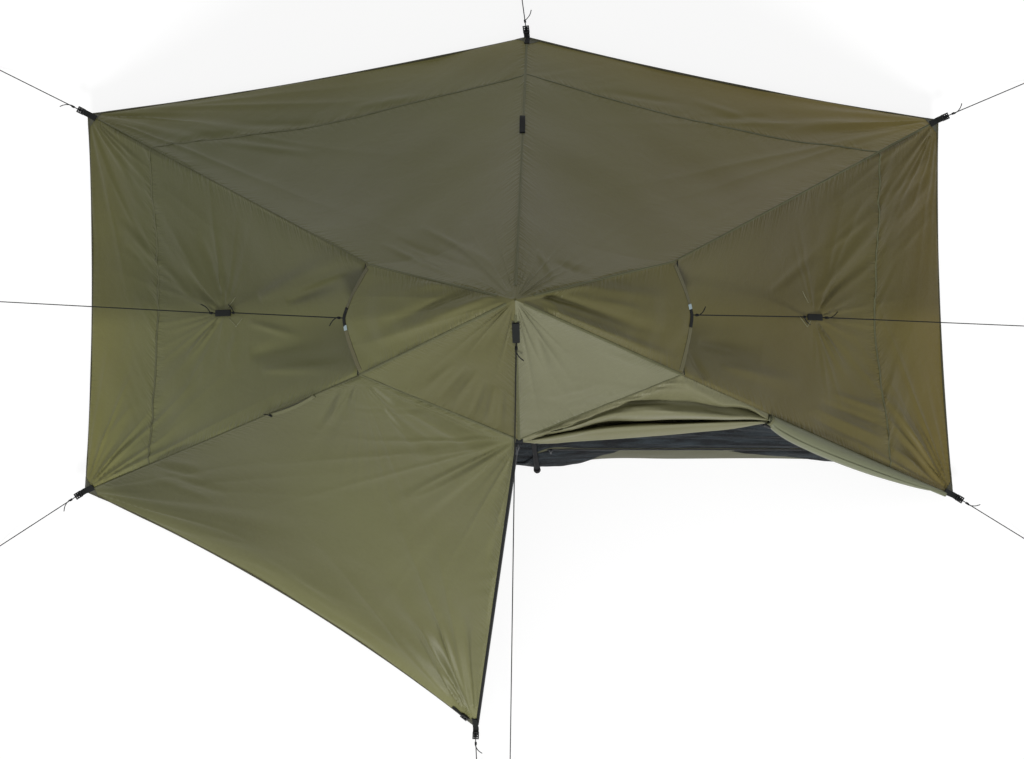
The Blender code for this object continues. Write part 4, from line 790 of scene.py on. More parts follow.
def row_lines(corner_a, corner_b, line, spacing=SPACING):
    """Rows spaced evenly along the second seam, and both seams at those rows."""
    coarse = line(corner_b, np.arange(UPPER_ROWS + LOWER_ROWS + 1.0) if line is whole_line
                  else np.arange(LOWER_ROWS + 1.0))
    rows = fine_rows(coarse, spacing)
    return rows, line(corner_a, rows), line(corner_b, rows), share_of_way(coarse, rows)


def swell(grid, across, rows, height, first_row=0.0):
    """Push the middle out by height: sin(pi v) down the panel from first_row times 4u(1-u) across it."""
    v = np.clip((rows - first_row) / (rows[-1] - first_row), 0.0, 1.0)
    weight = np.outer(np.sin(math.pi * v), 4.0 * across * (1.0 - across))
    return grid + height * weight[..., None] * facing(grid)


def back_panel(side):
    """From the middle seam to the back ridge, with the hem below and the opening at the peak above."""
    rows, left, right, down = row_lines("back", "back_" + side, whole_line)
    across = fine_across(1.35, SPACING)
    top = along(left[0], right[0], across)
    bottom = hem_line(left[-1], right[-1], BACK_HEM_CURVE, across)
    grid = swell(coons(top, bottom, left, right, across, down), across, rows, -BACK_PANEL_SAG, 1.0)
    return Cloth(grid, row_index(rows, UPPER_ROWS + BAND_ROWS))


def side_panel(side):
    """The top edge is a sill that steps down the ridges and dips below the vent's lip in a squared sine."""
    rows, front, back, down = row_lines("front_" + side, "back_" + side, lower_line, 0.8 * SPACING)
    step = (VENT_SILL_STEP * np.clip(1.0 - rows, 0.0, 1.0))[:, None]
    back = back + step * unit(back[row_index(rows, 1)] - back[0])
    front = front + step * unit(front[row_index(rows, 1)] - front[0])
    across = fine_across(1.16, 0.8 * SPACING)
    bottom = hem_line(back[-1], front[-1], SIDE_HEM_CURVE, across)
    straight = along(back[0], front[0], across)
    dip = (VENT_MOUTH * np.sin(math.pi * across) ** 2)[:, None]
    sill = straight - dip * facing(coons(straight, bottom, back, front, across, down))
    return Cloth(coons(sill, bottom, back, front, across, down), row_index(rows, BAND_ROWS))


def vent_hood(side):
    """The lip reaches out to a rounded point: reach times 1 - |2u - 1|^1.4."""
    coarse = upper_line(VENT["back_" + side], np.arange(UPPER_ROWS + 1.0))
    rows = fine_rows(coarse, 0.6 * SPACING)
    back, front = (upper_line(VENT[end + side], rows) for end in ("back_", "front_"))
    across = fine_across(0.34, 0.6 * SPACING)
    reach = VENT[side] - 0.5 * (back[-1] + front[-1])
    lip = along(back[-1], front[-1], across) + (1.0 - np.abs(2.0 * across - 1.0) ** 1.4)[:, None] * reach
    grid = coons(along(back[0], front[0], across), lip, back, front, across, share_of_way(coarse, rows))
    return Cloth(swell(grid, across, rows, HOOD_SWELL, 1.0))


def front_peak(side):
    """Triangle between the front ridge and the middle seam, from the peak down to the door's seam."""
    coarse = upper_line(VENT["front_" + side], np.arange(UPPER_ROWS + 1.0))
    rows = fine_rows(coarse, 0.6 * SPACING)
    ridge, centre = upper_line(VENT["front_" + side], rows), upper_line(DOOR_TOP, rows)
    across = fine_across(0.46, 0.6 * SPACING)
    top, bottom = along(ridge[0], centre[0], across), peak_seam("front_" + side, across)
    grid = coons(top, bottom, ridge, centre, across, share_of_way(coarse, rows))
    return Cloth(swell(grid, across, rows, -FRONT_PANEL_SAG, 1.0))


ZIP_RUN = unit(HEM["door"] - DOOR_TOP)
ZIP_LENGTH = float(np.linalg.norm(HEM["door"] - DOOR_TOP))
to_ridge = VENT["front_left"] + HEM["front_left"] - DOOR_TOP - HEM["door"]
ZIP_INWARD = unit(to_ridge - np.dot(to_ridge, ZIP_RUN) * ZIP_RUN)
ZIP_NORMAL = towards(np.cross(ZIP_RUN, ZIP_INWARD), UP)
ZIP_TAPE_WIDTH = 0.0070
ZIP_BEAD = 0.0015


def left_door():
    """Ridge on one side, the zip on the other, and between them the peak seam above and a curved hem
    below."""
    coarse = lower_line("front_left", np.arange(LOWER_ROWS + 1.0))
    rows = fine_rows(coarse, 0.8 * SPACING)
    beside_zip = ZIP_INWARD * (ZIP_TAPE_WIDTH + ZIP_BEAD)
    ridge = lower_line("front_left", rows)
    edge = lower_line("front_left", rows, DOOR_TOP, HEM["door"], 0.0) + beside_zip
    across = fine_across(1.25, 0.8 * SPACING)
    top = peak_seam("front_left", across) + across[:, None] * beside_zip
    bottom = hem_line(ridge[-1], edge[-1], DOOR_HEM_CURVE, across)
    grid = coons(top, bottom, ridge, edge, across, share_of_way(coarse, rows))
    return Cloth(swell(grid, across, rows, -DOOR_PANEL_SAG))


fly = {"left_door": left_door()}
for side in ("left", "right"):
    fly["back_panel_" + side] = back_panel(side)
    fly["side_panel_" + side] = side_panel(side)
    fly["vent_hood_" + side] = vent_hood(side)
    fly["front_peak_" + side] = front_peak(side)
print("panels", {name: cloth.points.shape[:2] for name, cloth in fly.items()})

# %% Folds read off the photograph
# Picture column and row of both ends, height in millimetres (minus for a valley) and half width in pixels
DRAWN_FOLDS = {
    "side_panel_left": (
        (221, 304, 199, 232, -8, 5), (228, 304, 212, 262, 5, 4), (191, 294, 118, 220, 8, 6),
        (183, 290, 124, 216, -5, 4), (156, 280, 129, 244, -4, 4), (148, 268, 126, 236, 4, 4),
        (124, 146, 144, 174, 5, 3), (118, 150, 136, 184, -4, 3), (248, 322, 300, 337, 5, 5),
        (236, 330, 230, 372, 3, 6), (258, 298, 350, 254, 11, 13), (285, 302, 350, 276, -9, 9),
        (300, 290, 352, 268, 4, 4), (250, 354, 352, 350, -12, 15), (262, 370, 350, 366, 5, 8),
        (98, 472, 150, 436, 3, 4), (96, 452, 138, 400, 3, 4)),
    "side_panel_right": (
        (816, 296, 886, 210, 9, 8), (824, 300, 882, 244, -6, 6), (823, 254, 879, 206, 5, 5),
        (770, 292, 838, 236, -5, 8), (832, 392, 889, 414, 6, 4), (821, 401, 889, 429, -6, 4),
        (813, 407, 889, 443, 6, 4), (806, 414, 884, 452, -5, 4), (889, 396, 942, 482, 10, 5),
        (893, 380, 930, 446, -7, 4), (890, 430, 937, 478, -8, 4), (889, 446, 934, 480, 7, 5),
        (888, 198, 930, 154, 5, 3), (888, 214, 932, 168, -5, 3), (888, 230, 932, 180, 5, 3),
        (888, 246, 934, 196, -4, 3), (888, 264, 934, 212, 4, 3), (688, 350, 706, 380, -7, 4),
        (698, 342, 762, 354, -9, 12), (720, 366, 800, 384, 6, 9)),
    "left_door": (
        (382, 385, 508, 441, 9, 5), (376, 390, 500, 447, -7, 5), (396, 404, 492, 458, 6, 6),
        (372, 398, 440, 452, -5, 6), (345, 385, 329, 426, 6, 4), (338, 390, 317, 428, -6, 4),
        (352, 384, 345, 420, -5, 4), (150, 466, 205, 477, 6, 4), (158, 461, 200, 468, -5, 3),
        (152, 472, 232, 494, 5, 4), (150, 478, 214, 500, -5, 3), (281, 588, 381, 648, 6, 3),
        (296, 590, 372, 638, -5, 3), (318, 600, 402, 668, 5, 3), (262, 560, 340, 610, -4, 4),
        (464, 714, 424, 638, 9, 5), (470, 712, 440, 622, 8, 5), (460, 710, 406, 618, -10, 5),
        (468, 708, 432, 628, -8, 4), (474, 706, 462, 606, -7, 6), (456, 706, 390, 628, 6, 5),
        (492, 548, 503, 500, 4, 4), (488, 566, 499, 515, -4, 4), (230, 420, 420, 560, 8, 60)),
    "back_panel_left": (
        (179, 144, 250, 132, -5, 3), (187, 131, 232, 137, 5, 3), (232, 126, 328, 122, -5, 3),
        (208, 142, 318, 152, 5, 4), (102, 118, 154, 140, 4, 3), (380, 243, 470, 284, 6, 4),
        (396, 239, 482, 272, -5, 4), (420, 226, 500, 268, 5, 5), (350, 108, 420, 98, 4, 4)),
    "back_panel_right": (
        (712, 117, 770, 116, -6, 3), (716, 121, 792, 125, 5, 3), (800, 122, 908, 127, 5, 3),
        (820, 131, 917, 128, -5, 3), (870, 147, 920, 130, 5, 3), (690, 99, 762, 122, 4, 4),
        (600, 92, 690, 104, -4, 4), (536, 250, 556, 284, 5, 5), (552, 262, 600, 282, -5, 5)),
    "vent_hood_left": (
        (500, 293, 366, 345, 9, 8), (486, 284, 380, 325, -9, 6), (470, 280, 372, 294, 4, 8)),
    "vent_hood_right": (
        (528, 286, 666, 335, -14, 8), (544, 307, 678, 361, 13, 6), (596, 300, 640, 309, 4, 3),
        (548, 296, 566, 318, 4, 2.5), (540, 298, 556, 316, -4, 2.5), (560, 283, 676, 299, 5, 8)),
    "front_peak_left": (
        (478, 370, 451, 407, 6, 5), (485, 380, 470, 420, -6, 4), (494, 386, 487, 424, 6, 4),
        (502, 390, 500, 430, -5, 4), (468, 366, 438, 400, -5, 5), (455, 362, 420, 392, 4, 5)),
    "front_peak_right": (
        (548, 398, 602, 383, 4, 4), (556, 409, 614, 391, -4, 3), (570, 408, 640, 386, 4, 3),
        (536, 330, 548, 372, 4, 5), (600, 350, 660, 372, 4, 6), (520, 300, 560, 318, -3, 2),
        (524, 308, 560, 328, 3, 2.5), (530, 318, 552, 336, -3, 2), (586, 401, 612, 393, 4, 2),
        (610, 397, 646, 389, -5, 2), (632, 390, 664, 382, 5, 2), (648, 384, 674, 379, -4, 2),
        (560, 414, 590, 405, -4, 2), (575, 410, 604, 400, 4, 2)),
    "swag": (
        (611, 404, 672, 402, -7, 2.5), (616, 409, 676, 406, 5, 3), (626, 397, 650, 396, -5, 2),
        (653, 387, 691, 387, -6, 2.5), (663, 383, 688, 384, 4, 2), (560, 426, 600, 419, -5, 2.5),
        (572, 425, 612, 417, 4, 2.5), (528, 440, 572, 428, -5, 2.5), (530, 441, 590, 431, 4, 2.5),
        (690, 398, 745, 412, 5, 4), (700, 408, 750, 416, -5, 3)),
}
print("drawn folds", sum(len(lines) for lines in DRAWN_FOLDS.values()))

# %% Folds of each panel
# Middles of the guyline loops in plan
LOOP_PLAN = {"left": (-0.832, 0.004), "right": (0.858, -0.008)}


def band_puckers(cloth, height, slant, layer):
    """Puckers on both sides of the band's seam, slanted below it."""
    sides = []
    for sign, share, decay, lean in ((-1.0, 0.7, 0.050, 0.3), (1.0, 1.0, 0.075, 1.0)):
        beside = np.maximum(sign * cloth.below_band, 0.0)
        sides.append(puckers(beside, cloth.left, share * height, 0.030, decay, lean * slant, layer))
    return np.where(cloth.below_band > 0.0, sides[1], sides[0])


def raise_folds(name, loose, band, seams, pulls):
    """Raise a panel by its slack, its puckers at the band and edges, its fans and the folds off the photo."""
    cloth = fly[name]
    height = slack(cloth, *loose) + drawn(cloth, DRAWN_FOLDS[name])
    if band:
        height += band_puckers(cloth, *band)
    for edge, *numbers in seams:
        run = cloth.top if edge in ("left", "right") else cloth.left
        height += puckers(getattr(cloth, edge), run, *numbers)
    for centre, toward, *numbers in pulls:
        height += fan(cloth.points, centre, toward, *numbers)
    fly[name] = cloth.raised(height)


def back_folds(side, turn):
    """Fine folds from the corner along the band, puckers at the ridge and a little slack."""
    corner = HEM["back_" + side]
    seams = (("right", 0.0014, 0.045, 0.06, 0.6, 4), ("left", 0.0008, 0.05, 0.05, 0.4, 5),
             ("bottom", 0.0016, 0.060, 0.05, 0.5, 6))
    pulls = ((corner, (turn, -0.12), 0.0120, 4.0, 0.60, 20.0, 1),
             (PEAK, corner - PEAK, 0.0060, 7.0, 0.26, 60.0, 2))
    return (0.0110, 0.30, 0 if side == "left" else 3), (0.0022, 1.2 * turn, 2), seams, pulls


def side_folds(side, turn):
    """Folds that radiate from the guyline loop and the corners, and puckers at the band."""
    loop = LOOP_PLAN[side]
    loose, band = {"left": ((0.0120, 0.28, 5), (0.0034, 1.0, 3)),
                   "right": ((0.0120, 0.28, 1), (0.0052, 1.0, 6))}[side]
    seams = (("right", 0.0016, 0.045, 0.06, -0.6, 6), ("left", 0.0012, 0.045, 0.05, 0.6, 0))
    pulls = ((loop, (-turn, 1.1), 0.0130, 9.0, 0.24, 48.0, 1),
             (loop, (-turn, -1.3), 0.0070, 9.0, 0.20, 40.0, 4),
             (HEM["back_" + side], (turn, -1.2), 0.0100, 5.0, 0.42, 32.0, 2),
             (HEM["front_" + side], (turn, 1.0), 0.0120, 5.0, 0.46, 32.0, 5))
    return loose, band, seams, pulls


def hood_folds(side, turn):
    """One soft valley from the peak to the lip, and small folds gathered at the peak."""
    seams = (("right", 0.0018, 0.030, 0.03, 0.8, 1), ("bottom", 0.0010, 0.030, 0.02, 0.0, 4))
    pulls = ((PEAK, (turn, -0.25), 0.0110, 9.0, 0.30, 45.0, 3 if side == "left" else 6),)
    return (0.0080, 0.12, 2), None, seams, pulls


def peak_folds(side, turn):
    """Folds that run from the peak and, stronger, from the door's peak where four seams pull."""
    seams = (("bottom", 0.0040, 0.026, 0.06, -0.5 * turn, 2 if side == "left" else 7),
             ("left", 0.0016, 0.030, 0.03, 0.6, 3))
    return (0.0060, 0.13, 4), None, seams, ((PEAK, (turn, -1.0), 0.0060, 8.0, 0.22, 55.0, 5),)


for kind, folds, way in (("back_panel_", back_folds, 1.0), ("side_panel_", side_folds, 1.0),
                         ("vent_hood_", hood_folds, -1.0), ("front_peak_", peak_folds, -1.0)):
    for side, turn in (("left", way), ("right", -way)):
        raise_folds(kind + side, *folds(side, turn))

# The door: long folds from its bottom corner and from its peak, and fine creases along the hem
raise_folds("left_door", (0.0100, 0.33, 6), None,
            (("top", 0.0040, 0.028, 0.075, 0.9, 1), ("right", 0.0020, 0.034, 0.05, -1.0, 5),
             ("bottom", 0.0018, 0.080, 0.06, 2.0, 2)),
            ((HEM["door"], (-0.62, 1.0), 0.0200, 7.0, 0.46, 30.0, 4),
             (DOOR_TOP, (-1.0, -0.62), 0.0110, 5.0, 0.46, 42.0, 0),
             (VENT["front_left"], (0.3, -1.0), 0.0100, 8.0, 0.26, 55.0, 3),
             (HEM["front_left"], (1.0, -0.25), 0.0110, 4.0, 0.62, 18.0, 7)))
print("folded", len(fly), "panels")

# %% [markdown]
# ## Coated cloth
# The fly is a thin olive nylon with a coating: satin, a little brighter where light grazes it, with a fine
# ripstop grid. Light that shines through its lower band, a single layer over open ground, is painted into the
# colour as a lighter, yellower band, and painted shade and light and a painted warm light lie over the
# panels.
# The inner face carries the pale grey-green coating that shows where the door is rolled. Solidify gives that
# face a second material.

# %% Cloth material
# Painted shade and light on each panel, as how much lighter or darker it is than its colour: level, per metre
# of x and y, step above its guyline loop
PANEL_PAINTED_SHADING = {"side_panel_left": (0.12, 0.0, 0.0, -0.42), "side_panel_right": (0.02, 0.0, 0.0, -0.28),
         "back_panel_left": (0.02, 0.20, 0.0, 0.0), "back_panel_right": (-0.06, 0.42, 0.0, 0.0),
         "vent_hood_left": (0.04, 0.0, 0.0, 0.0), "vent_hood_right": (-0.06, 0.0, 0.0, 0.0),
         "front_peak_left": (-0.07, 0.0, 0.0, 0.0), "left_door": (-0.086, 0.50, -0.30, 0.0)}
# Painted light along a panel's hem, where light from the floor would shine through the cloth
HEM_PAINTED_LIGHT = {"left_door": 0.34}
# Painted warm light: the colour is multiplied towards this from the left of the tent to its right
PAINTED_WARM_LIGHT = (0.90, 0.74, 0.56, 1.0)
# How far up from the hem its painted light reaches
HEM_PAINTED_LIGHT_REACH = 0.13


def cloth_material(name, colour, band_painted_light, square=0.005, crumple=0.0026, roughness=0.46, warm_light=PAINTED_WARM_LIGHT):
    """Colour mixed with the band's painted light, with a painted warm light to the right and painted shade
    and light per panel, shaded by noise and darkened on the ripstop lines."""
    made, tree, shader = new_material(name)
    place = in_tent(tree)
    weave = node(tree, "ShaderNodeGroup", {"Cloth": on_cloth(tree), "Square": square}, node_tree=WEAVE)
    shade = node(tree, "ShaderNodeGroup", {"Place": place, "Broad": 1.7, "Fine": 90.0},
                 node_tree=MOTTLE)["Shade"]
    band, painted_shading, pleats = (node(tree, "ShaderNodeAttribute", attribute_name=label)
                          for label in ("band", "painted_shading", "pleat"))
    # Painted warm light grows from the left of the tent to its right
    right = ramp(axes(place)[0], -0.9, 1.1, interpolation_type="SMOOTHSTEP")
    # The band's painted light is mixed in, then the painted warm light is multiplied on
    warm_lit = mix(right, mix(band["Fac"], colour, band_painted_light), warm_light, blend_type="MULTIPLY")
    # The panel's painted shade and light are added to the value here
    value = shade * 0.42 + (weave["Grid"] * -0.05 + painted_shading["Fac"])
    toned = node(tree, "ShaderNodeHueSaturation", {"Value": value + 1.0, "Hue": shade * 0.030 + 0.5,
                 "Color": warm_lit})[0]
    pleat = axes(pleats["Vector"])
    slanted = node(tree, "ShaderNodeCombineXYZ", {0: pleat[0].math("MULTIPLY_ADD", 78.0, pleat[1] * 34.0),
                   1: pleat[1] * 15.0})[0]
    gathers = bump((cloud(slanted, 1.0, 2.0, Roughness=0.6) - 0.5) * pleat[2], 0.0075, 1.0)
    soft = bump(cloud(place, 16.0, 5.0, Roughness=0.62, Distortion=0.8), crumple, 0.55, gathers)
    fill(shader, {"Base Color": toned, "Normal": bump(weave["Height"], 0.00012, 0.5, soft),
                  "Roughness": shade * 0.25 + roughness, "Specular IOR Level": 0.26})
    return made


# The second colour of each is the painted light of its lower band
FLY = cloth_material("olive_fly", srgb(97, 98, 64), srgb(107, 105, 61))
DOOR = cloth_material("olive_door", srgb(101, 101, 66), srgb(112, 109, 60), warm_light=WHITE)
# The fly's cloth made paler by a painted sheen, for the right front peak
PAINTED_SHEEN_FLY = cloth_material("olive_fly_painted_sheen", srgb(112, 112, 87), srgb(112, 112, 87), warm_light=WHITE)
SWAG = cloth_material("olive_swag", srgb(114, 113, 84), srgb(114, 113, 84), warm_light=WHITE)
LINING = cloth_material("coated_lining", srgb(110, 113, 88), srgb(110, 113, 88), roughness=0.42, warm_light=WHITE)
print("cloth materials", FLY.name, DOOR.name, SWAG.name, LINING.name)


# %% Panels as pieces
def cloth_uv(cloth):
    """Place on the cloth in metres, measured flat along the panel: x level, y up the slope."""
    normal = unit(cloth.normals.mean(axis=(0, 1)))
    level = unit(np.cross(UP, normal)) if abs(normal[2]) < 0.999 else np.array((1.0, 0.0, 0.0))
    slope = np.cross(normal, level)
    offset = cloth.points - cloth.points[0, 0]
    return np.stack((offset @ level, offset @ slope), axis=-1)


def cloth_mesh(name, cloth):
    """Mesh of a panel with its UV in metres, and as attributes its band's painted light, its painted shading
    and its pleats.
    """
    data = grid_mesh(name, cloth.points, cloth_uv(cloth))
    width = float(cloth.below_band.max()) if cloth.band_row else 1.0
    # Painted light through the lower band: a little over the whole band, more towards the hem
    mask = 0.15 * (cloth.below_band > 0.0) + 0.85 * smooth(cloth.below_band / width * 1.25 - 0.1)
    panel = name.removesuffix("_cloth")
    level, slope, rise, step = PANEL_PAINTED_SHADING.get(panel, (0.0, 0.0, 0.0, 0.0))
    x, y = cloth.points[..., 0], cloth.points[..., 1]
    # Painted shade and light: lighter or darker by the panel's level and slopes, and by a step above its
    # guyline loop
    painted_shading = level + slope * x + rise * y + step * smooth(y / 0.09 + 0.35)
    # Painted light near the hem
    painted_shading += HEM_PAINTED_LIGHT.get(panel, 0.0) * smooth(1.0 - cloth.bottom / HEM_PAINTED_LIGHT_REACH)
    for label, kind, key, values in (("band", "FLOAT", "value", mask), ("painted_shading", "FLOAT", "value", painted_shading),
                                     ("pleat", "FLOAT_VECTOR", "vector", cloth.pleats())):
        layer = data.attributes.new(label, kind, "POINT")
        layer.data.foreach_set(key, values.astype(np.float32).ravel())
    return faces_out(data, cloth.normals.mean(axis=(0, 1)))


def cloth_area(points):
    """Area of a grid surface: half the cross product of the diagonals of each cell."""
    first = points[1:, 1:] - points[:-1, :-1]
    second = points[1:, :-1] - points[:-1, 1:]
    return float(0.5 * np.linalg.norm(np.cross(first, second), axis=-1).sum())


def sew(name, cloth, slot, finish, lining, replaced, thickness=CLOTH_THICKNESS):
    """Make a panel's piece, give it its thickness and a lining on its inner face."""
    piece = add_piece(name, cloth_mesh(name, cloth), slot, finish, replaced)
    piece.data.materials.append(lining)
    thicken(piece, thickness).modifiers["thickness"].material_offset = 1
    return piece


def declare_sheet(piece, cloth):
    """Print the rectangle a sheet is cut from and its flat area."""
    uv = cloth_uv(cloth).reshape(-1, 2)
    area = cloth_area(cloth.points)
    width, length = (float(x) for x in np.ptp(uv, axis=0))
    length = max(length, 1.02 * area / width)
    print(piece.name, "flat", round(width, 3), "x", round(length, 3), "area", round(area, 3))


sheets = []
for name, cloth in fly.items():
    slot = "door_fabric" if name == "left_door" else "fly_fabric"
    # The right front peak takes the copy of the cloth with painted sheen
    finish = {"left_door": DOOR, "front_peak_right": PAINTED_SHEEN_FLY}.get(name, FLY)
    piece = sew(name + "_cloth", cloth, slot, finish, LINING, name)
    sheets.append((piece, cloth, "stretched", ("pole_cup",)))

# %% [markdown]
# ## The right door, rolled back
# The right door hangs in a swag from the peak seam and the ridge, and is gathered in a tie. From there a
# roll runs down the ridge to its corner. The swag is drawn as lines from the door's peak to the tie: seam,
# soft crest, valley, crest, tucked valley, rolled edge. Each line is a table of picture places and heights,
# read off the photograph.

# %% Swag
RIDGE_RUN = float(np.linalg.norm(HEM["front_right"] - VENT["front_right"]))
TIE_RUN = 0.375
TIE_SHARE = TIE_RUN / RIDGE_RUN
RIDGE_DIRECTION = unit(HEM["front_right"] - VENT["front_right"])
ROLL_SIDE = towards(unit(np.cross(UP, RIDGE_DIRECTION)), (0.0, -1.0, 0.0))
TIE_OUTER = 0.0144
TIE_WIDTH = 0.010


def right_ridge(shares):
    """Points of the right front ridge from the vent corner to the hem."""
    return along(VENT["front_right"], HEM["front_right"], shares, (0.0, 0.0, -RIDGE_SAG))


TIE_CENTRE = right_ridge([TIE_SHARE])[0] + ROLL_SIDE * (TIE_OUTER + SURFACE_GAP)

# Places along the swag, and for each line of it the picture rows and the heights there
SWAG_COLUMNS = np.array((523.0, 545.0, 572.0, 600.0, 640.0, 683.0, 720.0, 750.0, 768.5))
SWAG_ROWS = {
    "first_crest": ((440.6, 433.0, 424.2, 412.6, 398.0, 386.0, 401.5, 408.2, 418.6),
                    (0.884, 0.886, 0.872, 0.856, 0.842, 0.822, 0.728, 0.648, 0.602)),
    "first_valley": ((440.7, 434.0, 425.5, 414.0, 402.0, 402.5, 406.0, 410.4, 419.2),
                     (0.883, 0.874, 0.856, 0.834, 0.802, 0.768, 0.686, 0.616, 0.598)),
    "crest": ((440.8, 434.8, 427.4, 417.6, 411.8, 412.6, 415.0, 416.8, 419.8),
              (0.882, 0.870, 0.856, 0.838, 0.816, 0.790, 0.712, 0.640, 0.598)),
    "shoulder": ((441.2, 435.4, 429.2, 420.6, 418.8, 418.0, 418.6, 418.9, 420.3),
                 (0.881, 0.862, 0.838, 0.810, 0.776, 0.752, 0.690, 0.622, 0.597)),
    "tuck": ((441.3, 436.0, 430.4, 423.6, 421.2, 420.0, 419.8, 419.8, 420.7),
             (0.880, 0.846, 0.800, 0.752, 0.700, 0.664, 0.626, 0.596, 0.592)),
    "crevice": ((441.4, 437.0, 431.6, 426.2, 422.8, 421.2, 420.6, 420.6, 421.0),
                (0.878, 0.836, 0.784, 0.722, 0.654, 0.606, 0.582, 0.574, 0.588)),
    "lift": ((441.5, 437.8, 433.0, 428.0, 424.6, 422.9, 421.9, 421.4, 421.3),
             (0.878, 0.850, 0.820, 0.780, 0.726, 0.680, 0.636, 0.600, 0.588)),
    "band": ((441.7, 439.6, 436.4, 433.4, 430.4, 427.8, 425.4, 423.4, 422.1),
             (0.877, 0.846, 0.812, 0.772, 0.718, 0.672, 0.630, 0.597, 0.587)),
    "rim": ((442.0, 441.8, 440.0, 438.4, 435.6, 432.2, 428.6, 425.2, 422.7),
            (0.877, 0.836, 0.794, 0.752, 0.696, 0.650, 0.612, 0.590, 0.584)),
    "front": ((442.3, 443.4, 442.2, 440.4, 437.4, 433.8, 430.0, 426.4, 423.2),
              (0.876, 0.828, 0.782, 0.740, 0.682, 0.636, 0.600, 0.582, 0.580)),
    "under": ((441.9, 441.4, 439.4, 437.0, 433.4, 429.4, 426.4, 423.6, 421.6),
              (0.875, 0.816, 0.766, 0.720, 0.656, 0.608, 0.580, 0.570, 0.576)),
}
# Down the swag: where each line lies, the first being the seam itself
SWAG_MARKS = np.array((0.0, 0.5, 1.3, 2.2, 3.0, 3.6, 4.2, 4.7, 5.4, 6.2, 6.6, 7.3))
DENSE_COLUMN = 560.0
VENT_CORNER_COLUMN = 683.0


def smooth_rows(values, marks, wanted):
    """Smooth curves through rows of points: each span a cubic through its neighbours, at the wanted marks."""
    values = np.asarray(values)
    slopes = np.gradient(values, marks, axis=0)
    i = np.clip(np.searchsorted(marks, wanted, side="right") - 1, 0, len(marks) - 2)
    step = marks[i + 1] - marks[i]
    t = ((wanted - marks[i]) / step).reshape(-1, *([1] * (values.ndim - 1)))
    step = step.reshape(t.shape)
    return ((2.0 * t ** 3 - 3.0 * t ** 2 + 1.0) * values[i] + (t ** 3 - 2.0 * t ** 2 + t) * step * slopes[i]
            + (3.0 * t ** 2 - 2.0 * t ** 3) * values[i + 1] + (t ** 3 - t ** 2) * step * slopes[i + 1])


def swag_top(columns):
    """The peak seam from the door's peak to the vent corner, then the ridge to the tie, at picture
    columns."""
    seam = peak_seam("front_right", np.linspace(1.0, 0.0, 60))
    stop = TIE_SHARE - (0.5 * TIE_WIDTH + 0.0004) / RIDGE_RUN
    line = np.vstack((seam, right_ridge(np.linspace(0.0, stop, 60)[1:]))) + (0.0, 0.0, -0.0012)
    return between(columns, seen_at(line)[:, 0], line)


def swag():
    """Interpolate the table along the swag, then down it, and add fine puckers below the seam."""
    columns = np.concatenate((np.linspace(SWAG_COLUMNS[0], DENSE_COLUMN, 40, endpoint=False),
                              np.linspace(DENSE_COLUMN, SWAG_COLUMNS[-1], 160)))
    rows = [swag_top(columns)]
    for picture_rows, heights in SWAG_ROWS.values():
        line = smooth_rows(np.column_stack((picture_rows, heights)), SWAG_COLUMNS, columns)
        rows.append(from_picture(columns, line[:, 0], line[:, 1]))
    down = np.linspace(0.0, SWAG_MARKS[-1], 130)
    cloth = Cloth(smooth_rows(np.stack(rows), SWAG_MARKS, down))
    seam_share = smooth((VENT_CORNER_COLUMN - columns) / 30.0)[None]
    gathers = puckers(cloth.top, cloth.left, 0.0050, 0.016, 0.040, 0.9, 4) * (0.35 + 0.65 * seam_share)
    waves = 0.0035 * (noise(cloth.left / 0.09, down[:, None] * 0.9, 5) - 0.5)
    return cloth.raised(gathers + waves)


swag_cloth = swag()
swag_cloth = swag_cloth.raised(drawn(swag_cloth, DRAWN_FOLDS["swag"], 1.8))
swag_piece = sew("right_door_swag_cloth", swag_cloth, "door_fabric", SWAG, LINING, "right_door_swag")
sheets.append((swag_piece, swag_cloth, "gathered", ()))
print("swag", swag_cloth.points.shape, swag_cloth.points.reshape(-1, 3).min(axis=0).round(3).tolist())

# %% Roll
ROLL_RADIUS = 0.026
ROLL_END_RADIUS = 0.0075
ROLL_END_RUN = 0.042
TIE_RADIUS = 0.0130
FREE_EDGE = 0.95
WEB_COLUMNS = 8


def roll_line(rows):
    """Centres and radii of the roll: narrow in its tie, full below it, thin at the hem."""
    inside_tie = 0.5 * TIE_WIDTH / RIDGE_RUN
    last = 1.0 - ROLL_END_RUN / RIDGE_RUN
    part = np.linspace(0.0, 1.0, rows)
    start = TIE_RADIUS - 0.0004
    shares = np.append(TIE_SHARE - inside_tie, TIE_SHARE + inside_tie + (last - TIE_SHARE) * part)
    full = np.sin(math.pi * np.clip(part * 1.1, 0.0, 1.0) ** 0.6) ** 0.8
    thin = start + (ROLL_END_RADIUS - start) * part
    radii = np.append(start, thin + (ROLL_RADIUS - thin) * full)
    reach = radii + SURFACE_GAP
    reach[:2] = TIE_OUTER + SURFACE_GAP
    return right_ridge(shares) + reach[:, None] * ROLL_SIDE, radii


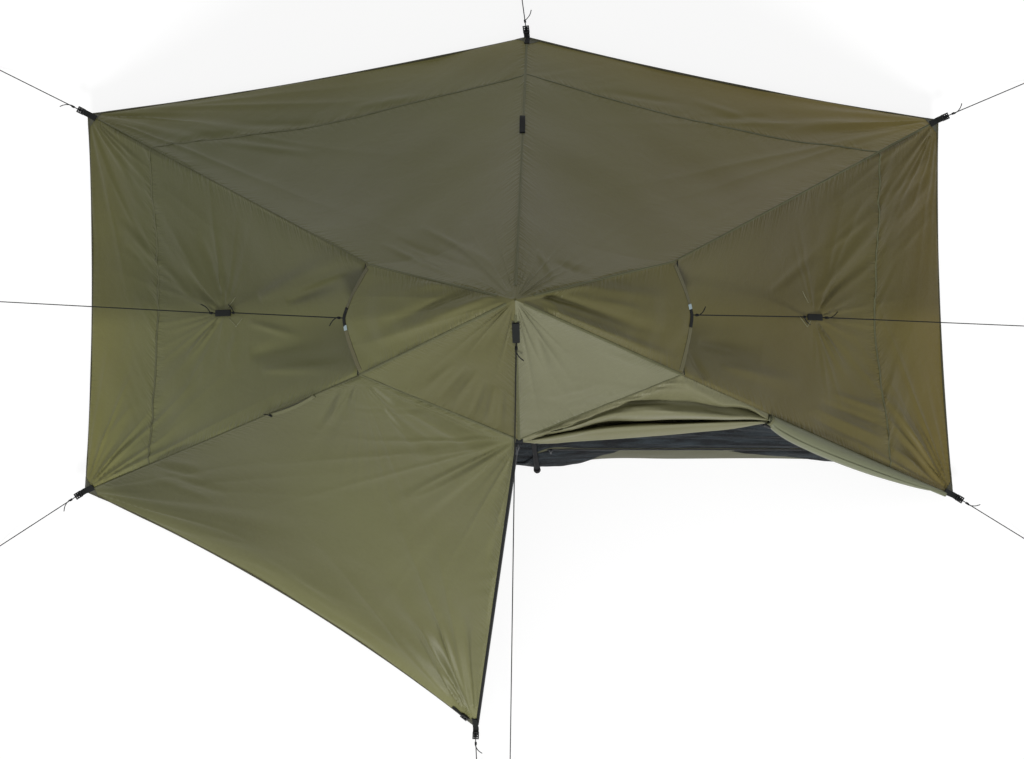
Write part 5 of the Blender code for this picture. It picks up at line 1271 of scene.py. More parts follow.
def roll():
    """Spiral sheet of 1.3 turns: each turn inwards is a tenth smaller, and the free edge lies outside."""
    centres, radii = roll_line(120)
    run = unit(np.gradient(centres, axis=0))
    second = unit(np.cross(run, ROLL_SIDE))
    second = np.where(second[:, 2:] > 0.0, second, -second)
    first = np.cross(second, run)
    first = np.where((first @ ROLL_SIDE)[:, None] > 0.0, first, -first)
    turn = np.linspace(-1.3 * TAU, 0.0, 90)
    metres = run_of(centres[:, None])
    angle = turn[None] + FREE_EDGE + 0.25 * np.sin(metres / 0.30)
    wrinkle = 1.0 + 0.05 * (noise(metres / 0.10 + angle / 2.2, angle / 1.1, 3) - 0.5)
    size = radii[:, None] * (1.0 + 0.10 * turn[None] / TAU) * wrinkle * (0.96 + 0.03 * np.cos(2.0 * angle))
    return Cloth(centres[:, None] + size[..., None] * (first[:, None] * np.cos(angle)[..., None]
                                                       + second[:, None] * np.sin(angle)[..., None]))


def door_web():
    """Cloth between the ridge and the roll's top, bulged up a little."""
    centres, radii = roll_line(120)
    high = centres - (radii[:, None] + SURFACE_GAP) * ROLL_SIDE - 0.0010 * UP
    low = centres + 0.86 * radii[:, None] * unit(UP + 0.35 * ROLL_SIDE)
    share = np.linspace(0.0, 1.0, WEB_COLUMNS)[None, :, None]
    return high[:, None] + (low - high)[:, None] * share + 0.0030 * np.sin(math.pi * share) * UP


roll_cloth = roll()
roll_piece = thicken(surface("right_door_roll_cloth", roll_cloth.points, "door_lining", LINING,
                             "right_door_roll"), CLOTH_THICKNESS, 0.0)
web_piece = surface("right_door_web", door_web(), "door_lining", LINING, outward=UP,
                    thickness=CLOTH_THICKNESS)
print("roll", roll_cloth.points.shape)

# %% [markdown]
# ## Floor, bathtub wall and netting
# The floor is a five-sided sheet. Its wall stands all round and leans in, and slumps a little at the front
# beside the pole. Fine black netting closes the space between the wall and the fly: a front wall behind the
# pole, four skirts along the lower band and one panel behind each vent. Netting is mostly open, so its
# material lets light through.

# %% Floor and wall
FLOOR_PLAN = ((-1.130, -0.440), (1.135, -0.440), (1.135, 0.515), (0.039, 0.745), (-1.130, 0.515))
TUB_TOP_PLAN = ((-1.108, -0.395), (1.113, -0.395), (1.113, 0.49714), (0.03886, 0.72255), (-1.108, 0.49691))
TUB_HEIGHT = 0.110
FRONT_FOOT = ((-1.13, -0.440), (-0.40, -0.442), (0.0, -0.444), (0.10, -0.452), (0.26, -0.433), (0.50, -0.432),
              (0.80, -0.431), (1.135, -0.440))
FRONT_TOP = ((-1.108, -0.395, 0.110), (-0.34, -0.396, 0.108), (-0.12, -0.420, 0.074), (-0.02, -0.438, 0.044),
             (0.035, -0.436, 0.050), (0.075, -0.405, 0.098), (0.10, -0.3955, 0.110), (0.20, -0.395, 0.110),
             (1.113, -0.395, 0.110))

# The wall's own direction at the front: up along it and out of it
WALL_UP = np.array((0.0, 0.3828, 0.92383))
WALL_OUT = np.array((0.0, -0.92383, 0.3828))
WALL_ROWS = 13
WALL_STEPS = (240, 100, 120, 120, 100)
FRONT_STEPS = 181


def through(points, places):
    """Values of a smooth curve through rows of numbers, at these values of the first one."""
    table = np.asarray(points)
    return smooth_rows(table, table[:, 0], places)


def plan_side(plan, side, steps, height):
    """One side of a floor outline, from its corner to the next."""
    start, end = np.array(plan[side]), np.array(plan[(side + 1) % len(plan)])
    return along(np.append(start, height), np.append(end, height), steps)


def wall_ring(height_share, side, steps):
    """Points of one side of the wall at a share of its height; the front follows the curves read off the
    photo."""
    low = plan_side(FLOOR_PLAN, side, steps, 0.0012)
    high = plan_side(TUB_TOP_PLAN, side, steps, TUB_HEIGHT)
    if side == 0:
        low[:, 1] = through(FRONT_FOOT, low[:, 0])[:, 1]
        high[:, 1:] = through(FRONT_TOP, high[:, 0])[:, 1:]
    return low + (high - low) * height_share


def bathtub():
    """Closed band of rows round the floor, bent out a little between foot and top, with small upright
    puckers."""
    share = np.linspace(1.0, 0.0, WALL_ROWS)
    points = np.stack([np.vstack([wall_ring(height, side, np.linspace(0.0, 1.0, count, endpoint=False))
                                  for side, count in enumerate(WALL_STEPS)]) for height in share])
    outward = unit((points[-1] - points[0]) * (1.0, 1.0, 0.0))
    run = run_of(points[:1], 1)
    share = share[:, None]
    bulge = 0.0025 + 0.0045 * (noise(run / 0.045, share * 2.0, 6) - 0.5)
    bulge = bulge * np.sin(math.pi * share) + 0.0030 * (noise(run / 0.017, share * 1.2, 2) - 0.5) * share
    return points + bulge[..., None] * outward[None]


TUB = cloth_material("olive_floor", srgb(80, 80, 60), srgb(80, 80, 60), square=0.004, crumple=0.0016,
                     roughness=0.55, warm_light=WHITE)
wall_points = bathtub()
top_run = np.broadcast_to(run_of(wall_points, 1)[:1], wall_points.shape[:2])
wall_piece = surface("bathtub_wall_cloth", wall_points, "floor_fabric", TUB, "bathtub_wall",
                     uv=np.stack((top_run, run_of(wall_points)), axis=-1), around=True, outward=UP,
                     thickness=CLOTH_THICKNESS)


def floor_sheet():
    """Coons patch between the front edge and the two back edges, almost flat, with slight waves."""
    across, down = np.linspace(0.0, 1.0, FRONT_STEPS), np.linspace(0.0, 1.0, 90)
    front = wall_ring(0.0, 0, across)
    half = np.linspace(0.0, 1.0, (FRONT_STEPS + 1) // 2)
    back_right, back_left = (plan_side(FLOOR_PLAN, side, half, 0.0)[::-1] for side in (2, 3))
    back = np.vstack((back_left, back_right[1:]))
    left, right = plan_side(FLOOR_PLAN, 4, 1.0 - down, 0.0), plan_side(FLOOR_PLAN, 1, down, 0.0)
    points = coons(front * (1.0, 1.0, 0.0), back, left, right, across, down)
    waves = noise(points[..., 0] / 0.14 + 20.0, points[..., 1] / 0.14 + 20.0, 1)
    hold = np.minimum(1.0, 8.0 * np.outer(np.sin(math.pi * down), np.sin(math.pi * across)))
    points[..., 2] = 0.0010 + 0.0018 * waves * hold
    return Cloth(points)


floor_cloth = floor_sheet()
floor_piece = sew("floor_panel_cloth", floor_cloth, "floor_fabric", TUB, TUB, "floor_panel", thickness=0.0008)
sheets.append((floor_piece, floor_cloth, "laid", ()))
print("tub", wall_points.shape, "floor", floor_cloth.points.shape)

# %% Netting
def netting_material():
    """Fine black net, seen as one haze: level streaks of painted light on its folds, and specks that let
    light through.
    """
    made, tree, shader = new_material("black_netting")
    place = in_tent(tree)
    streaks = node(tree, "ShaderNodeMapping", {"Vector": place, "Scale": (9.0, 60.0, 60.0)})[0]
    # Painted highlight: lighter grey streaks where light would catch the net's level folds
    grey = ramp(cloud(streaks, 1.0, 5.0, Distortion=0.6), 0.42, 0.72)
    cover = ramp(cloud(place, 520.0, 2.0), 0.36, 0.62) * 0.21 + 0.78
    fill(shader, {"Base Color": mix(grey, srgb(16, 19, 22), srgb(48, 56, 61)), "Alpha": cover,
                  "Roughness": 0.7, "Specular IOR Level": 0.2})
    return made


NETTING = netting_material()
MESH_THICKNESS = 0.0005


def under(cloth, row, depth):
    """Points of one row of a folded panel, moved in along the panel's normals."""
    return cloth.points[row] - depth * cloth.normals[row]


def pull_in(grid, inset):
    """Move both side edges in by inset, so that netting doesn't pass through the ridge seams."""
    for edge, inner in ((0, 1), (-1, -2)):
        step = grid[:, inner] - grid[:, edge]
        grid[:, edge] += inset * unit(step)
    return grid


def skirt(side, panel):
    """Netting from the panel's band seam down to the top of the bathtub wall."""
    cloth = fly[panel]
    high = under(cloth, cloth.band_row, 0.0022)
    index = ("front", "right", "back_right", "back_left", "left").index(side)
    ends = [np.append(TUB_TOP_PLAN[i], TUB_HEIGHT + 0.0005) for i in (index, (index + 1) % len(FLOOR_PLAN))]
    if np.linalg.norm(high[0] - ends[0]) > np.linalg.norm(high[0] - ends[1]):
        ends.reverse()
    share = run_of(high)
    low = along(ends[0], ends[1], share / share[-1])
    v = np.linspace(0.0, 1.0, 26)
    grid = high[None] + (low - high)[None] * v[:, None, None]
    waves = 0.006 * (noise(share[None] / 0.07, v[:, None] * 1.5, index) - 0.5) * np.sin(math.pi * v)[:, None]
    return Cloth(pull_in(grid + waves[..., None] * normals_of(grid), 0.004))


def front_wall():
    """From the bathtub's front edge up under both front ridges, with a belly and long level folds."""
    tops = []
    for side in ("left", "right"):
        lower = lower_line("front_" + side, np.arange(BAND_ROWS + 1.0))
        upper = upper_line(VENT["front_" + side], np.arange(1.0, UPPER_ROWS))
        drop = np.append((0.052, 0.046, 0.040), np.append(0.020, np.full(len(lower) - 1, 0.0055)))
        tops.append((np.vstack((upper, lower)) - drop[:, None] * UP)[::-1])
    left, right = tops[0], tops[1][::-1]
    crown = PEAK + np.array((0.0, 0.045, -0.125))
    for line, near in ((left, (-1, -2)), (right, (0, 1))):
        for number, share in zip(near, (0.75, 0.25)):
            line[number] += share * 0.5 * (crown - line[number]) + np.array((0.0, 0.0, -0.009))
    coarse = np.vstack((left, crown[None], right))
    marks = run_of(coarse)
    wanted = np.linspace(0.0, marks[-1], 300)
    high = between(wanted, marks, coarse)
    spread = (high[:, 0] - high[0, 0]) / (high[-1, 0] - high[0, 0])
    low = wall_ring(1.0, 0, spread) + (0.0, 0.0, 0.0006)
    v = np.linspace(0.0, 1.0, 96)
    grid = high[None] + (low - high)[None] * v[:, None, None]
    u = wanted / marks[-1]
    grid[..., 1] += 0.050 * np.outer(np.sin(math.pi * v), np.sin(math.pi * u))
    down = run_of(grid, 0)
    bottom = down[-1:] - down
    fold = noise(grid[..., 0] / 0.35 + 2.0 * bottom + 7.0, bottom / 0.030, 4) - 0.5
    fine = noise(grid[..., 0] / 0.12, bottom / 0.012 + grid[..., 0] * 2.0, 7) - 0.5
    height = (0.016 * fold + 0.005 * fine) * smooth(bottom / 0.05) * smooth(down / 0.12)
    grid[..., 1] -= height
    return Cloth(pull_in(grid, 0.004))


def vent_wall(side):
    """From the side panel's sill up to the inside of the hood."""
    hood = fly["vent_hood_" + side]
    high = under(hood, hood.points.shape[0] // 2, 0.0140)
    sill = fly["side_panel_" + side].points[0] + (0.0, 0.0, 0.0010)
    share = np.linspace(0.0, 1.0, 60)
    ends = [between(share, np.linspace(0.0, 1.0, len(line)), line) for line in (high, sill)]
    v = np.linspace(0.0, 1.0, 24)[:, None, None]
    grid = (1.0 - v) * ends[0][None] + v * ends[1][None] - 0.022 * np.sin(math.pi * v) * UP
    return Cloth(pull_in(grid, 0.026))


netting = {"mesh_skirt_" + side: skirt(side, panel) for side, panel in (
    ("left", "side_panel_left"), ("back_left", "back_panel_left"), ("back_right", "back_panel_right"),
    ("right", "side_panel_right"))}
netting["mesh_front"] = front_wall()
netting.update({"vent_mesh_" + side: vent_wall(side) for side in ("left", "right")})
for name, cloth in netting.items():
    piece = sew(name + "_net", cloth, "netting", NETTING, NETTING, name, thickness=MESH_THICKNESS)
    sheets.append((piece, cloth, "stretched", ()))


def net_fold(name, x, foot, head):
    """Slack end of the front netting, laid over the wall's outer face below its zip, from head to foot
    share."""
    steps = (x - FLOOR_PLAN[0][0]) / (FLOOR_PLAN[1][0] - FLOOR_PLAN[0][0])
    shares = head + (foot - head) * np.linspace(0.0, 1.0, 22)[:, None]
    grid = np.stack([wall_ring(share[:, None], 0, steps) for share in shares])
    loose = 0.0045 + 0.0030 * noise(x[None] / 0.03, shares / 0.30, 1)
    lift = 0.0016 + loose * smooth((head - shares) / 0.12)
    grid = grid + lift[..., None] * WALL_OUT
    return surface(name, grid, "netting", NETTING, outward=WALL_OUT, thickness=0.0004)


x = np.linspace(-0.100, 0.330, 140)
foot = 0.03 + 0.85 * (smooth((x - 0.19) / 0.15) + smooth((-0.03 - x) / 0.07))
fold_pieces = [net_fold("mesh_front_fold", x, foot, 1.0 - 0.11 * smooth((x - 0.055) / 0.035))]
x = np.linspace(0.62, 1.115, 100)
foot = 0.83 - 0.81 * smooth((x - 0.62) / 0.42)
fold_pieces.append(net_fold("mesh_front_fold_right", x, foot, np.full(len(x), 0.84)))
print("netting", {name: cloth.points.shape[:2] for name, cloth in netting.items()})

# %% [markdown]
# ## Seams, bindings and patches
# The panels are joined with flat-felled seams: a folded strip about a centimetre wide with two rows of
# stitches. The lower band has a seam of its own, the hems are bound with dark tape, and dark triangles
# strengthen the corners. Each is laid on the folded panels, so it follows their folds.

# %% Trim materials
STITCH_INSET = 0.0032
STITCH_PITCH = 0.0032


def tape_material(name, colour, edge, half_width, thread):
    """Strip seen from above, x across it: painted shade along both folded edges, and a row of stitches 3.2 mm
    inside each of them."""
    made, tree, shader = new_material(name)
    parts = axes(on_cloth(tree))
    away = parts[0].math("ABSOLUTE")
    # Painted shade: the edge colour darkens the outer 1.4 mm of each side, where the strip turns under
    edge_shade = ramp(away, half_width - 0.0014, half_width - 0.0002, interpolation_type="SMOOTHSTEP")
    row = away.math("COMPARE", half_width - STITCH_INSET, 0.00035)
    stitch = row * (parts[1] / STITCH_PITCH).math("FRACT").math("GREATER_THAN", 0.28)
    grain = cloud(in_tent(tree), 130.0, 3.0) - row * 0.6
    fill(shader, {"Base Color": mix(stitch, mix(edge_shade, colour, edge), thread), "Roughness": 0.55,
                  "Normal": bump(grain, 0.0007, 0.8), "Specular IOR Level": 0.26})
    return made


def grained_material(name, colour, roughness, metallic=0.0, grain=0.00015, scale=900.0, gleam=0.5):
    """Moulded plastic or metal: one colour, a fine grain and a slight change of gloss."""
    made, tree, shader = new_material(name)
    place = in_tent(tree)
    broad = cloud(place, 40.0, 2.0)
    shade = node(tree, "ShaderNodeHueSaturation", {"Color": colour, "Value": broad * 0.3 + 0.85})[0]
    fill(shader, {"Base Color": shade, "Normal": bump(cloud(place, scale, 3.0), grain, 0.6),
                  "Roughness": broad * 0.2 + (roughness - 0.1), "Metallic": metallic,
                  "Specular IOR Level": gleam})
    return made


SEAM_HALF = 0.0036
LIP_WIDTH = 0.0150
# The second colour of each tape is the painted shade at its edges
SEAM = tape_material("felled_seam", srgb(95, 96, 66), srgb(60, 60, 42), SEAM_HALF, srgb(78, 79, 56))
LIP = tape_material("vent_lip", srgb(92, 89, 64), srgb(66, 63, 45), 0.5 * LIP_WIDTH, srgb(112, 110, 84))
BINDING = tape_material("hem_binding", srgb(64, 62, 44), srgb(52, 50, 36), 0.0045, srgb(84, 82, 62))
PATCH = cloth_material("corner_patch", srgb(70, 70, 54), srgb(70, 70, 54), 0.0025, 0.0012, warm_light=WHITE)
WEBBING = strand_material("black_webbing", srgb(8, 9, 9), srgb(30, 32, 31))
TIE_WEBBING = strand_material("olive_webbing", srgb(70, 71, 50), srgb(112, 112, 84))
PLASTIC = grained_material("black_plastic", srgb(24, 25, 26), 0.5)
THREAD = grained_material("pale_thread", srgb(132, 132, 104), 0.8, scale=2500.0)
LABEL = grained_material("pale_end", srgb(150, 168, 172), 0.6)
COIL = grained_material("zip_coil", srgb(30, 31, 33), 0.42)
METAL = grained_material("zip_metal", srgb(84, 86, 88), 0.40, 1.0, 0.00006)
DARK_METAL = grained_material("dark_zip_metal", srgb(62, 64, 67), 0.45, 1.0, 0.00006)
print("trim materials ready")


# %% Strips laid along a seam
def sample(grid, rows, columns):
    """Bilinear values of a grid at fractional row and column numbers."""
    r0 = np.clip(np.floor(rows).astype(int), 0, grid.shape[0] - 2)
    c0 = np.clip(np.floor(columns).astype(int), 0, grid.shape[1] - 2)
    fr, fc = (rows - r0)[..., None], (columns - c0)[..., None]
    return ((1.0 - fr) * ((1.0 - fc) * grid[r0, c0] + fc * grid[r0, c0 + 1])
            + fr * ((1.0 - fc) * grid[r0 + 1, c0] + fc * grid[r0 + 1, c0 + 1]))


def edge_of(cloth, edge):
    """An edge of a panel, or an inner row: its points, the directions into the panel along it, and
    normals."""
    step = 3
    picks = {"left": (np.s_[:, 0], np.s_[:, step]), "right": (np.s_[:, -1], np.s_[:, -1 - step]),
             "top": (np.s_[0], np.s_[step]), "bottom": (np.s_[-1], np.s_[-1 - step])}
    if edge in picks:
        line, inner = picks[edge]
    else:
        line, inner = np.s_[edge], np.s_[edge + step]
    points, near, normals = cloth.points[line], cloth.points[inner], cloth.normals[line]
    run = unit(np.gradient(points, axis=0))
    into = near - points
    into = unit(into - (into * run).sum(axis=-1, keepdims=True) * run)
    return points, into, normals


def matched(key, wanted, values):
    """Rows of values at the wanted keys, whichever way the keys run."""
    order = np.argsort(key)
    return between(wanted, key[order], values[order])


riders = {}


def attach(owner, *pieces):
    """Note pieces that move with a sheet, by the sheet's name."""
    riders.setdefault(owner, []).extend(pieces)


def seam_strip(name, first, second, axis, owner, lift=0.0012, layer=0):
    """Strip with five points across: half its width on each of two panels, highest in the middle."""
    points, into_a, normal_a = first
    into_b, normal_b = (matched(second[0][:, axis], points[:, axis], second[k]) for k in (1, 2))
    ripple = 0.0010 * (noise(run_of(points) / 0.011, 0.5, layer) - 0.5)[:, None]
    middle = unit(normal_a + normal_b)
    sides = [[points + share * SEAM_HALF * into + height * normal
              for share, height in ((1.0, SURFACE_GAP), (0.8, 0.8 * lift + ripple))]
             for into, normal in ((into_a, normal_a), (into_b, normal_b))]
    grid = np.stack(sides[0] + [points + (lift + ripple) * middle] + sides[1][::-1], axis=1)
    across = np.broadcast_to(SEAM_HALF * np.array((-1.0, -0.8, 0.0, 0.8, 1.0)), grid.shape[:2])
    uv = np.stack((across, run_of(points[:, None]) + np.zeros_like(across)), axis=-1)
    attach(owner, surface(name, grid, "fly_fabric", SEAM, uv=uv, outward=middle.mean(axis=0)))


def sweep(name, path, normals, profile, slot="webbing", finish=WEBBING, replaced=()):
    """Closed body with one section all along a path: x across, y along the normals."""
    run = unit(np.gradient(path, axis=0))
    across = unit(np.cross(normals, run))
    points = path[:, None] + profile[None, :, :1] * across[:, None] + profile[None, :, 1:] * normals[:, None]
    widths = np.broadcast_to(profile[:, 0], points.shape[:2])
    uv = np.stack((widths, run_of(path[:, None]) + np.zeros_like(widths)), axis=-1)
    data = mesh_from(name, points, tube_faces(*points.shape[:2]), uv)
    return add_piece(name, data, slot, finish, *replaced)


def flat_section(width, thickness):
    """Rounded flat section that rests on y = 0: cosines and sines raised to small powers."""
    turn = np.linspace(0.0, TAU, 16, endpoint=False)
    x = 0.5 * width * np.sign(np.cos(turn)) * np.abs(np.cos(turn)) ** 0.35
    y = 0.5 * thickness * (np.sign(np.sin(turn)) * np.abs(np.sin(turn)) ** 0.7 + 1.0)
    return np.stack((x, y), axis=-1)


def stretch(edge, first=0, last=None):
    """Part of an edge, by point number."""
    return tuple(part[first:last] for part in edge)


def free_edge(name, panel, edge, axis, layer):
    """Strip folded over a panel's open edge: its second half turns down and back."""
    points, into, normals = edge_of(fly[panel], edge)
    folded = (points, -0.4 * into - 0.9 * normals, normals)
    seam_strip(name, (points, into, normals), folded, axis, panel, layer=layer)


attach("mesh_front_net", *fold_pieces)
# Seams: name, axis that matches both edges, panel, edge and points of one side, panel and edge of the other
joined = []
for side in ("left", "right"):
    kinds = ("back_panel_", "front_peak_", "vent_hood_", "side_panel_")
    back, peak, hood, low = (kind + side for kind in kinds)
    start = row_index(fine_rows(whole_line("back_" + side, np.arange(13.0)), SPACING), UPPER_ROWS)
    joined += [("back_upper_seam_" + side, 2, back, "right", (8, start + 1), hood, "left"),
               ("back_seam_" + side, 2, back, "right", (start, None), low, "right"),
               ("front_upper_seam_" + side, 2, peak, "left", (6, None), hood, "right")]
joined += [("front_seam_left", 2, "left_door", "left", (0, None), "side_panel_left", "left"),
           ("peak_seam_left", 0, "left_door", "top", (0, None), "front_peak_left", "bottom"),
           ("back_middle_seam", 2, "back_panel_left", "left", (8, None), "back_panel_right", "left"),
           ("front_middle_seam", 2, "front_peak_left", "right", (10, None), "front_peak_right", "right")]
for number, (name, axis, panel, edge, part, other, other_edge) in enumerate(joined):
    first, second = stretch(edge_of(fly[panel], edge), *part), edge_of(fly[other], other_edge)
    seam_strip(name, first, second, axis, panel, layer=number)
for name in ("back_panel_left", "back_panel_right", "side_panel_left", "side_panel_right"):
    points, into, normals = edge_of(fly[name], fly[name].band_row)
    seam_strip(name + "_band_seam", (points, into, normals), (points, -into, normals),
               0 if "back" in name else 1, name, lift=0.0009, layer=2)
free_edge("front_seam_right", "side_panel_right", "left", 2, 3)
free_edge("peak_seam_right", "front_peak_right", "bottom", 0, 5)

# Width, thickness, share of the width that lies inside the edge, and how far it sits below the cloth
HEM_BINDING = (0.0075, 0.0024, 0.32, 0.0014)
for name, cloth in fly.items():
    if name.startswith("front_peak"):
        continue
    vent = name.startswith("vent")
    points, into, normals = stretch(edge_of(cloth, "bottom"), 3, -3) if vent else edge_of(cloth, "bottom")
    width, thickness, inset, sunk = (LIP_WIDTH, 0.0016, 0.47, 0.0006) if vent else HEM_BINDING
    path = points + inset * width * into - sunk * normals
    attach(name, sweep(name + "_binding", path, normals, flat_section(width, thickness), "fly_fabric",
                       LIP if vent else BINDING))

CLOSED_RUN = np.linspace(0.0, 0.030, 12)
LIP_DROP = (0.0, 0.0, 0.0016)
for side in ("left", "right"):
    lip, sill = fly["vent_hood_" + side].points[-1], fly["side_panel_" + side].points[0]
    for end, order in (("back", slice(None)), ("front", slice(None, None, -1))):
        high, low = (between(CLOSED_RUN, run_of(line[order]), line[order]) for line in (lip, sill))
        high = high - LIP_DROP
        grid = high[None] + (low - high)[None] * np.linspace(0.0, 1.0, 6)[:, None, None]
        attach("vent_hood_" + side, surface("vent_corner_" + side + "_" + end, grid, "fly_fabric", LIP,
                                            thickness=CLOTH_THICKNESS))
print("seams and bindings", sum(len(pieces) for pieces in riders.values()))


# %% Corner patches
CORNER_REACH = 0.045


def corner_patch(name, panel, edge):
    """Triangle on one panel at the end of its ridge: s runs out from the corner and t from hem to ridge."""
    cloth = fly[panel]
    rows, columns = cloth.points.shape[:2]
    last = 0 if edge == "left" else columns - 1
    hem_run = run_of(cloth.points[-1])
    hem_run = hem_run if edge == "left" else hem_run[-1] - hem_run[::-1]
    ridge_run = run_of(cloth.points[::-1, last])
    s, t = np.meshgrid(np.linspace(0.0, 1.0, 18), np.linspace(0.0, 1.0, 12), indexing="ij")
    across = np.interp(s * CORNER_REACH * (1.0 - t), hem_run, np.arange(columns))
    across = across if edge == "left" else columns - 1 - across
    down = rows - 1 - np.interp(s * CORNER_REACH * t, ridge_run, np.arange(rows))
    points = sample(cloth.points, down, across) + 0.0010 * unit(sample(cloth.normals, down, across))
    uv = np.stack((s * t, s * (1.0 - t)), axis=-1) * CORNER_REACH
    attach(panel, surface(name, points, "fly_fabric", PATCH, uv=uv, outward=cloth.normals[-1, last]))


RIDGE_ENDS = [(kind + side, edge) for kind, edge in (("back_panel_", "left"), ("back_panel_", "right"),
                                                     ("side_panel_", "right"), ("side_panel_", "left"))
              for side in ("left", "right")]
for panel, edge in RIDGE_ENDS + [("left_door", "left"), ("left_door", "right")]:
    corner_patch(panel + "_" + edge + "_patch", panel, edge)
print("patches on", len(riders), "panels")

# %% [markdown]
# ## Straps, line-locks, loops and tabs
# Every corner has a webbing strap that ends in a line-lock, through which its guyline runs. Webbing loops
# take the side lines and the peak line, short tabs on the vents' lips take the cords that hold them open,
# and a small buckle sits beside the door's corner. Pale bars of thread sew the loops down.

# %% Straps and line-locks
WEBBING_THICKNESS = 0.0014
STRAP_WIDTH = 0.018
LOCK_LENGTH, LOCK_WIDTH, LOCK_HEIGHT = 0.022, 0.020, 0.0065
LOCK_OPENING, LOCK_SLOT, LOCK_BAR = 0.012, 0.0032, 0.0032
# Cord wound through a lock: turns, points to a turn, half its width across the lock, and its radius
LOCK_TURNS, TURN_POINTS, WOUND_HALF, WOUND_RADIUS = 3, 28, 0.0044, 0.0014


def frame_matrix(origin, run, up):
    """Matrix whose X is run, whose Z is up made square to it, and whose place is origin."""
    x = unit(run)
    z = unit(up - np.dot(up, x) * x)
    return Matrix(np.vstack((np.column_stack((x, np.cross(z, x), z, origin)), (0.0, 0.0, 0.0, 1.0))).tolist())


def rounded_boxes(name, boxes, bevel, place):
    """Mesh of rounded boxes in one frame; each is (size, centre)."""
    filled = bmesh.new()
    for size, centre in boxes:
        made = bmesh.ops.create_cube(filled, size=1.0)["verts"]
        bmesh.ops.scale(filled, vec=size, verts=made)
        bmesh.ops.translate(filled, vec=centre, verts=made)
    bmesh.ops.bevel(filled, geom=filled.edges[:], offset=bevel, segments=3, profile=0.7, affect="EDGES")
    filled.transform(place)
    data = bpy.data.meshes.new(name)
    filled.to_mesh(data)
    filled.free()
    data.shade_smooth()
    return data


def line_lock(name, centre, outwards):
    """Two rails joined by four bars: the webbing holds the first bar and the cord runs round the others."""
    rail = 0.5 * (LOCK_WIDTH - LOCK_OPENING)
    edge_bar = 0.5 * (LOCK_LENGTH - 3.0 * LOCK_SLOT - 2.0 * LOCK_BAR)
    boxes = []
    for side in (-1.0, 1.0):
        boxes += [((LOCK_LENGTH, rail, LOCK_HEIGHT), (0.0, side * 0.5 * (LOCK_WIDTH - rail), 0.0)),
                  ((edge_bar, 0.014, LOCK_HEIGHT), (side * 0.5 * (LOCK_LENGTH - edge_bar), 0.0, 0.0)),
                  ((LOCK_BAR, 0.014, 0.8 * LOCK_HEIGHT), (side * 0.5 * (LOCK_SLOT + LOCK_BAR), 0.0, 0.0))]
    data = rounded_boxes(name, boxes, 0.0009, frame_matrix(centre, outwards, UP))
    return add_piece(name, data, "plastic", PLASTIC)


def lock_cord(name, centre, outwards):
    """Cord wound through a line-lock: a helix whose turn is a rounded box round the two middle bars."""
    turn = np.linspace(-0.25, LOCK_TURNS - 0.25, LOCK_TURNS * TURN_POINTS + 1)
    wave = np.array((np.cos(TAU * turn), np.sin(TAU * turn)))
    rounded = np.sign(wave) * np.abs(wave) ** 0.55
    across = np.linspace(-WOUND_HALF, WOUND_HALF, len(turn))
    wound = np.column_stack((rounded[0] * (LOCK_SLOT + LOCK_BAR), across,
                             rounded[1] * (0.4 * LOCK_HEIGHT + CORD_RADIUS)))
    place = np.array(frame_matrix(centre, outwards, UP))
    return add_piece(name, tube(name, wound @ place[:3, :3].T + place[:3, 3], WOUND_RADIUS, 8), "cord", CORD)


def strap(name, path, normals, width, replaced=(), thickness=WEBBING_THICKNESS, finish=WEBBING):
    """Webbing through a few places, made smooth."""
    marks = np.arange(len(path), dtype=float)
    wanted = np.linspace(0.0, marks[-1], 8 * (len(path) - 1) + 1)
    return sweep(name, smooth_rows(path, marks, wanted), unit(smooth_rows(normals, marks, wanted)),
                 flat_section(width, thickness), "webbing", finish, replaced)


LOCK_CENTRES = {
    "back_left": ((-1.33198, 0.64059, 0.0516), (-0.8927, 0.45065, 0.0)),
    "back": ((0.03622, 0.89033, 0.0516), (-0.11837, 0.99297, 0.0)),
    "back_right": ((1.32457, 0.62133, 0.0516), (0.91774, 0.39719, 0.0)),
    "front_left": ((-1.33989, -0.54151, 0.0516), (-0.84642, -0.53252, 0.0)),
    "front_right": ((1.36920, -0.55301, 0.0516), (0.85954, -0.51108, 0.0)),
    "door": ((-0.11854, -1.28019, 0.05122), (-0.03006, -0.99955, 0.0))}
SHEET_AT_CORNER = {
    "back": "back_panel_left", "back_left": "back_panel_left", "back_right": "back_panel_right",
    "front_left": "left_door", "front_right": "side_panel_right", "door": "left_door"}


def corner_strap(name, outwards):
    """From 46 mm up the ridge, or 42 mm up the zip, over the corner to the lock's first bar."""
    corner = HEM[name]
    if name == "door":
        inner = corner - ZIP_RUN * 0.042 + ZIP_INWARD * 0.75 * STRAP_WIDTH + ZIP_NORMAL * 0.0030
        edge = corner + ZIP_INWARD * 0.3 * STRAP_WIDTH + ZIP_NORMAL * 0.0028
    else:
        above = whole_line(name, np.array((10.0,))) if name == "back" else lower_line(name, np.array((6.0,)))
        inner = corner + unit(above[0] - corner) * 0.046 + UP * 0.0026
        edge = corner + UP * 0.0022
    path = np.array((inner, 0.5 * (inner + edge), edge, edge + outwards * 0.014, edge + outwards * 0.0205))
    path[-2:, 2] = HEM_HEIGHT + 0.0004
    side = np.cross(outwards, UP)
    normals = np.array([towards(unit(np.cross(side, run)), UP) for run in np.gradient(path, axis=0)])
    if name == "door":
        normals[:2] = ZIP_NORMAL
    return path, normals


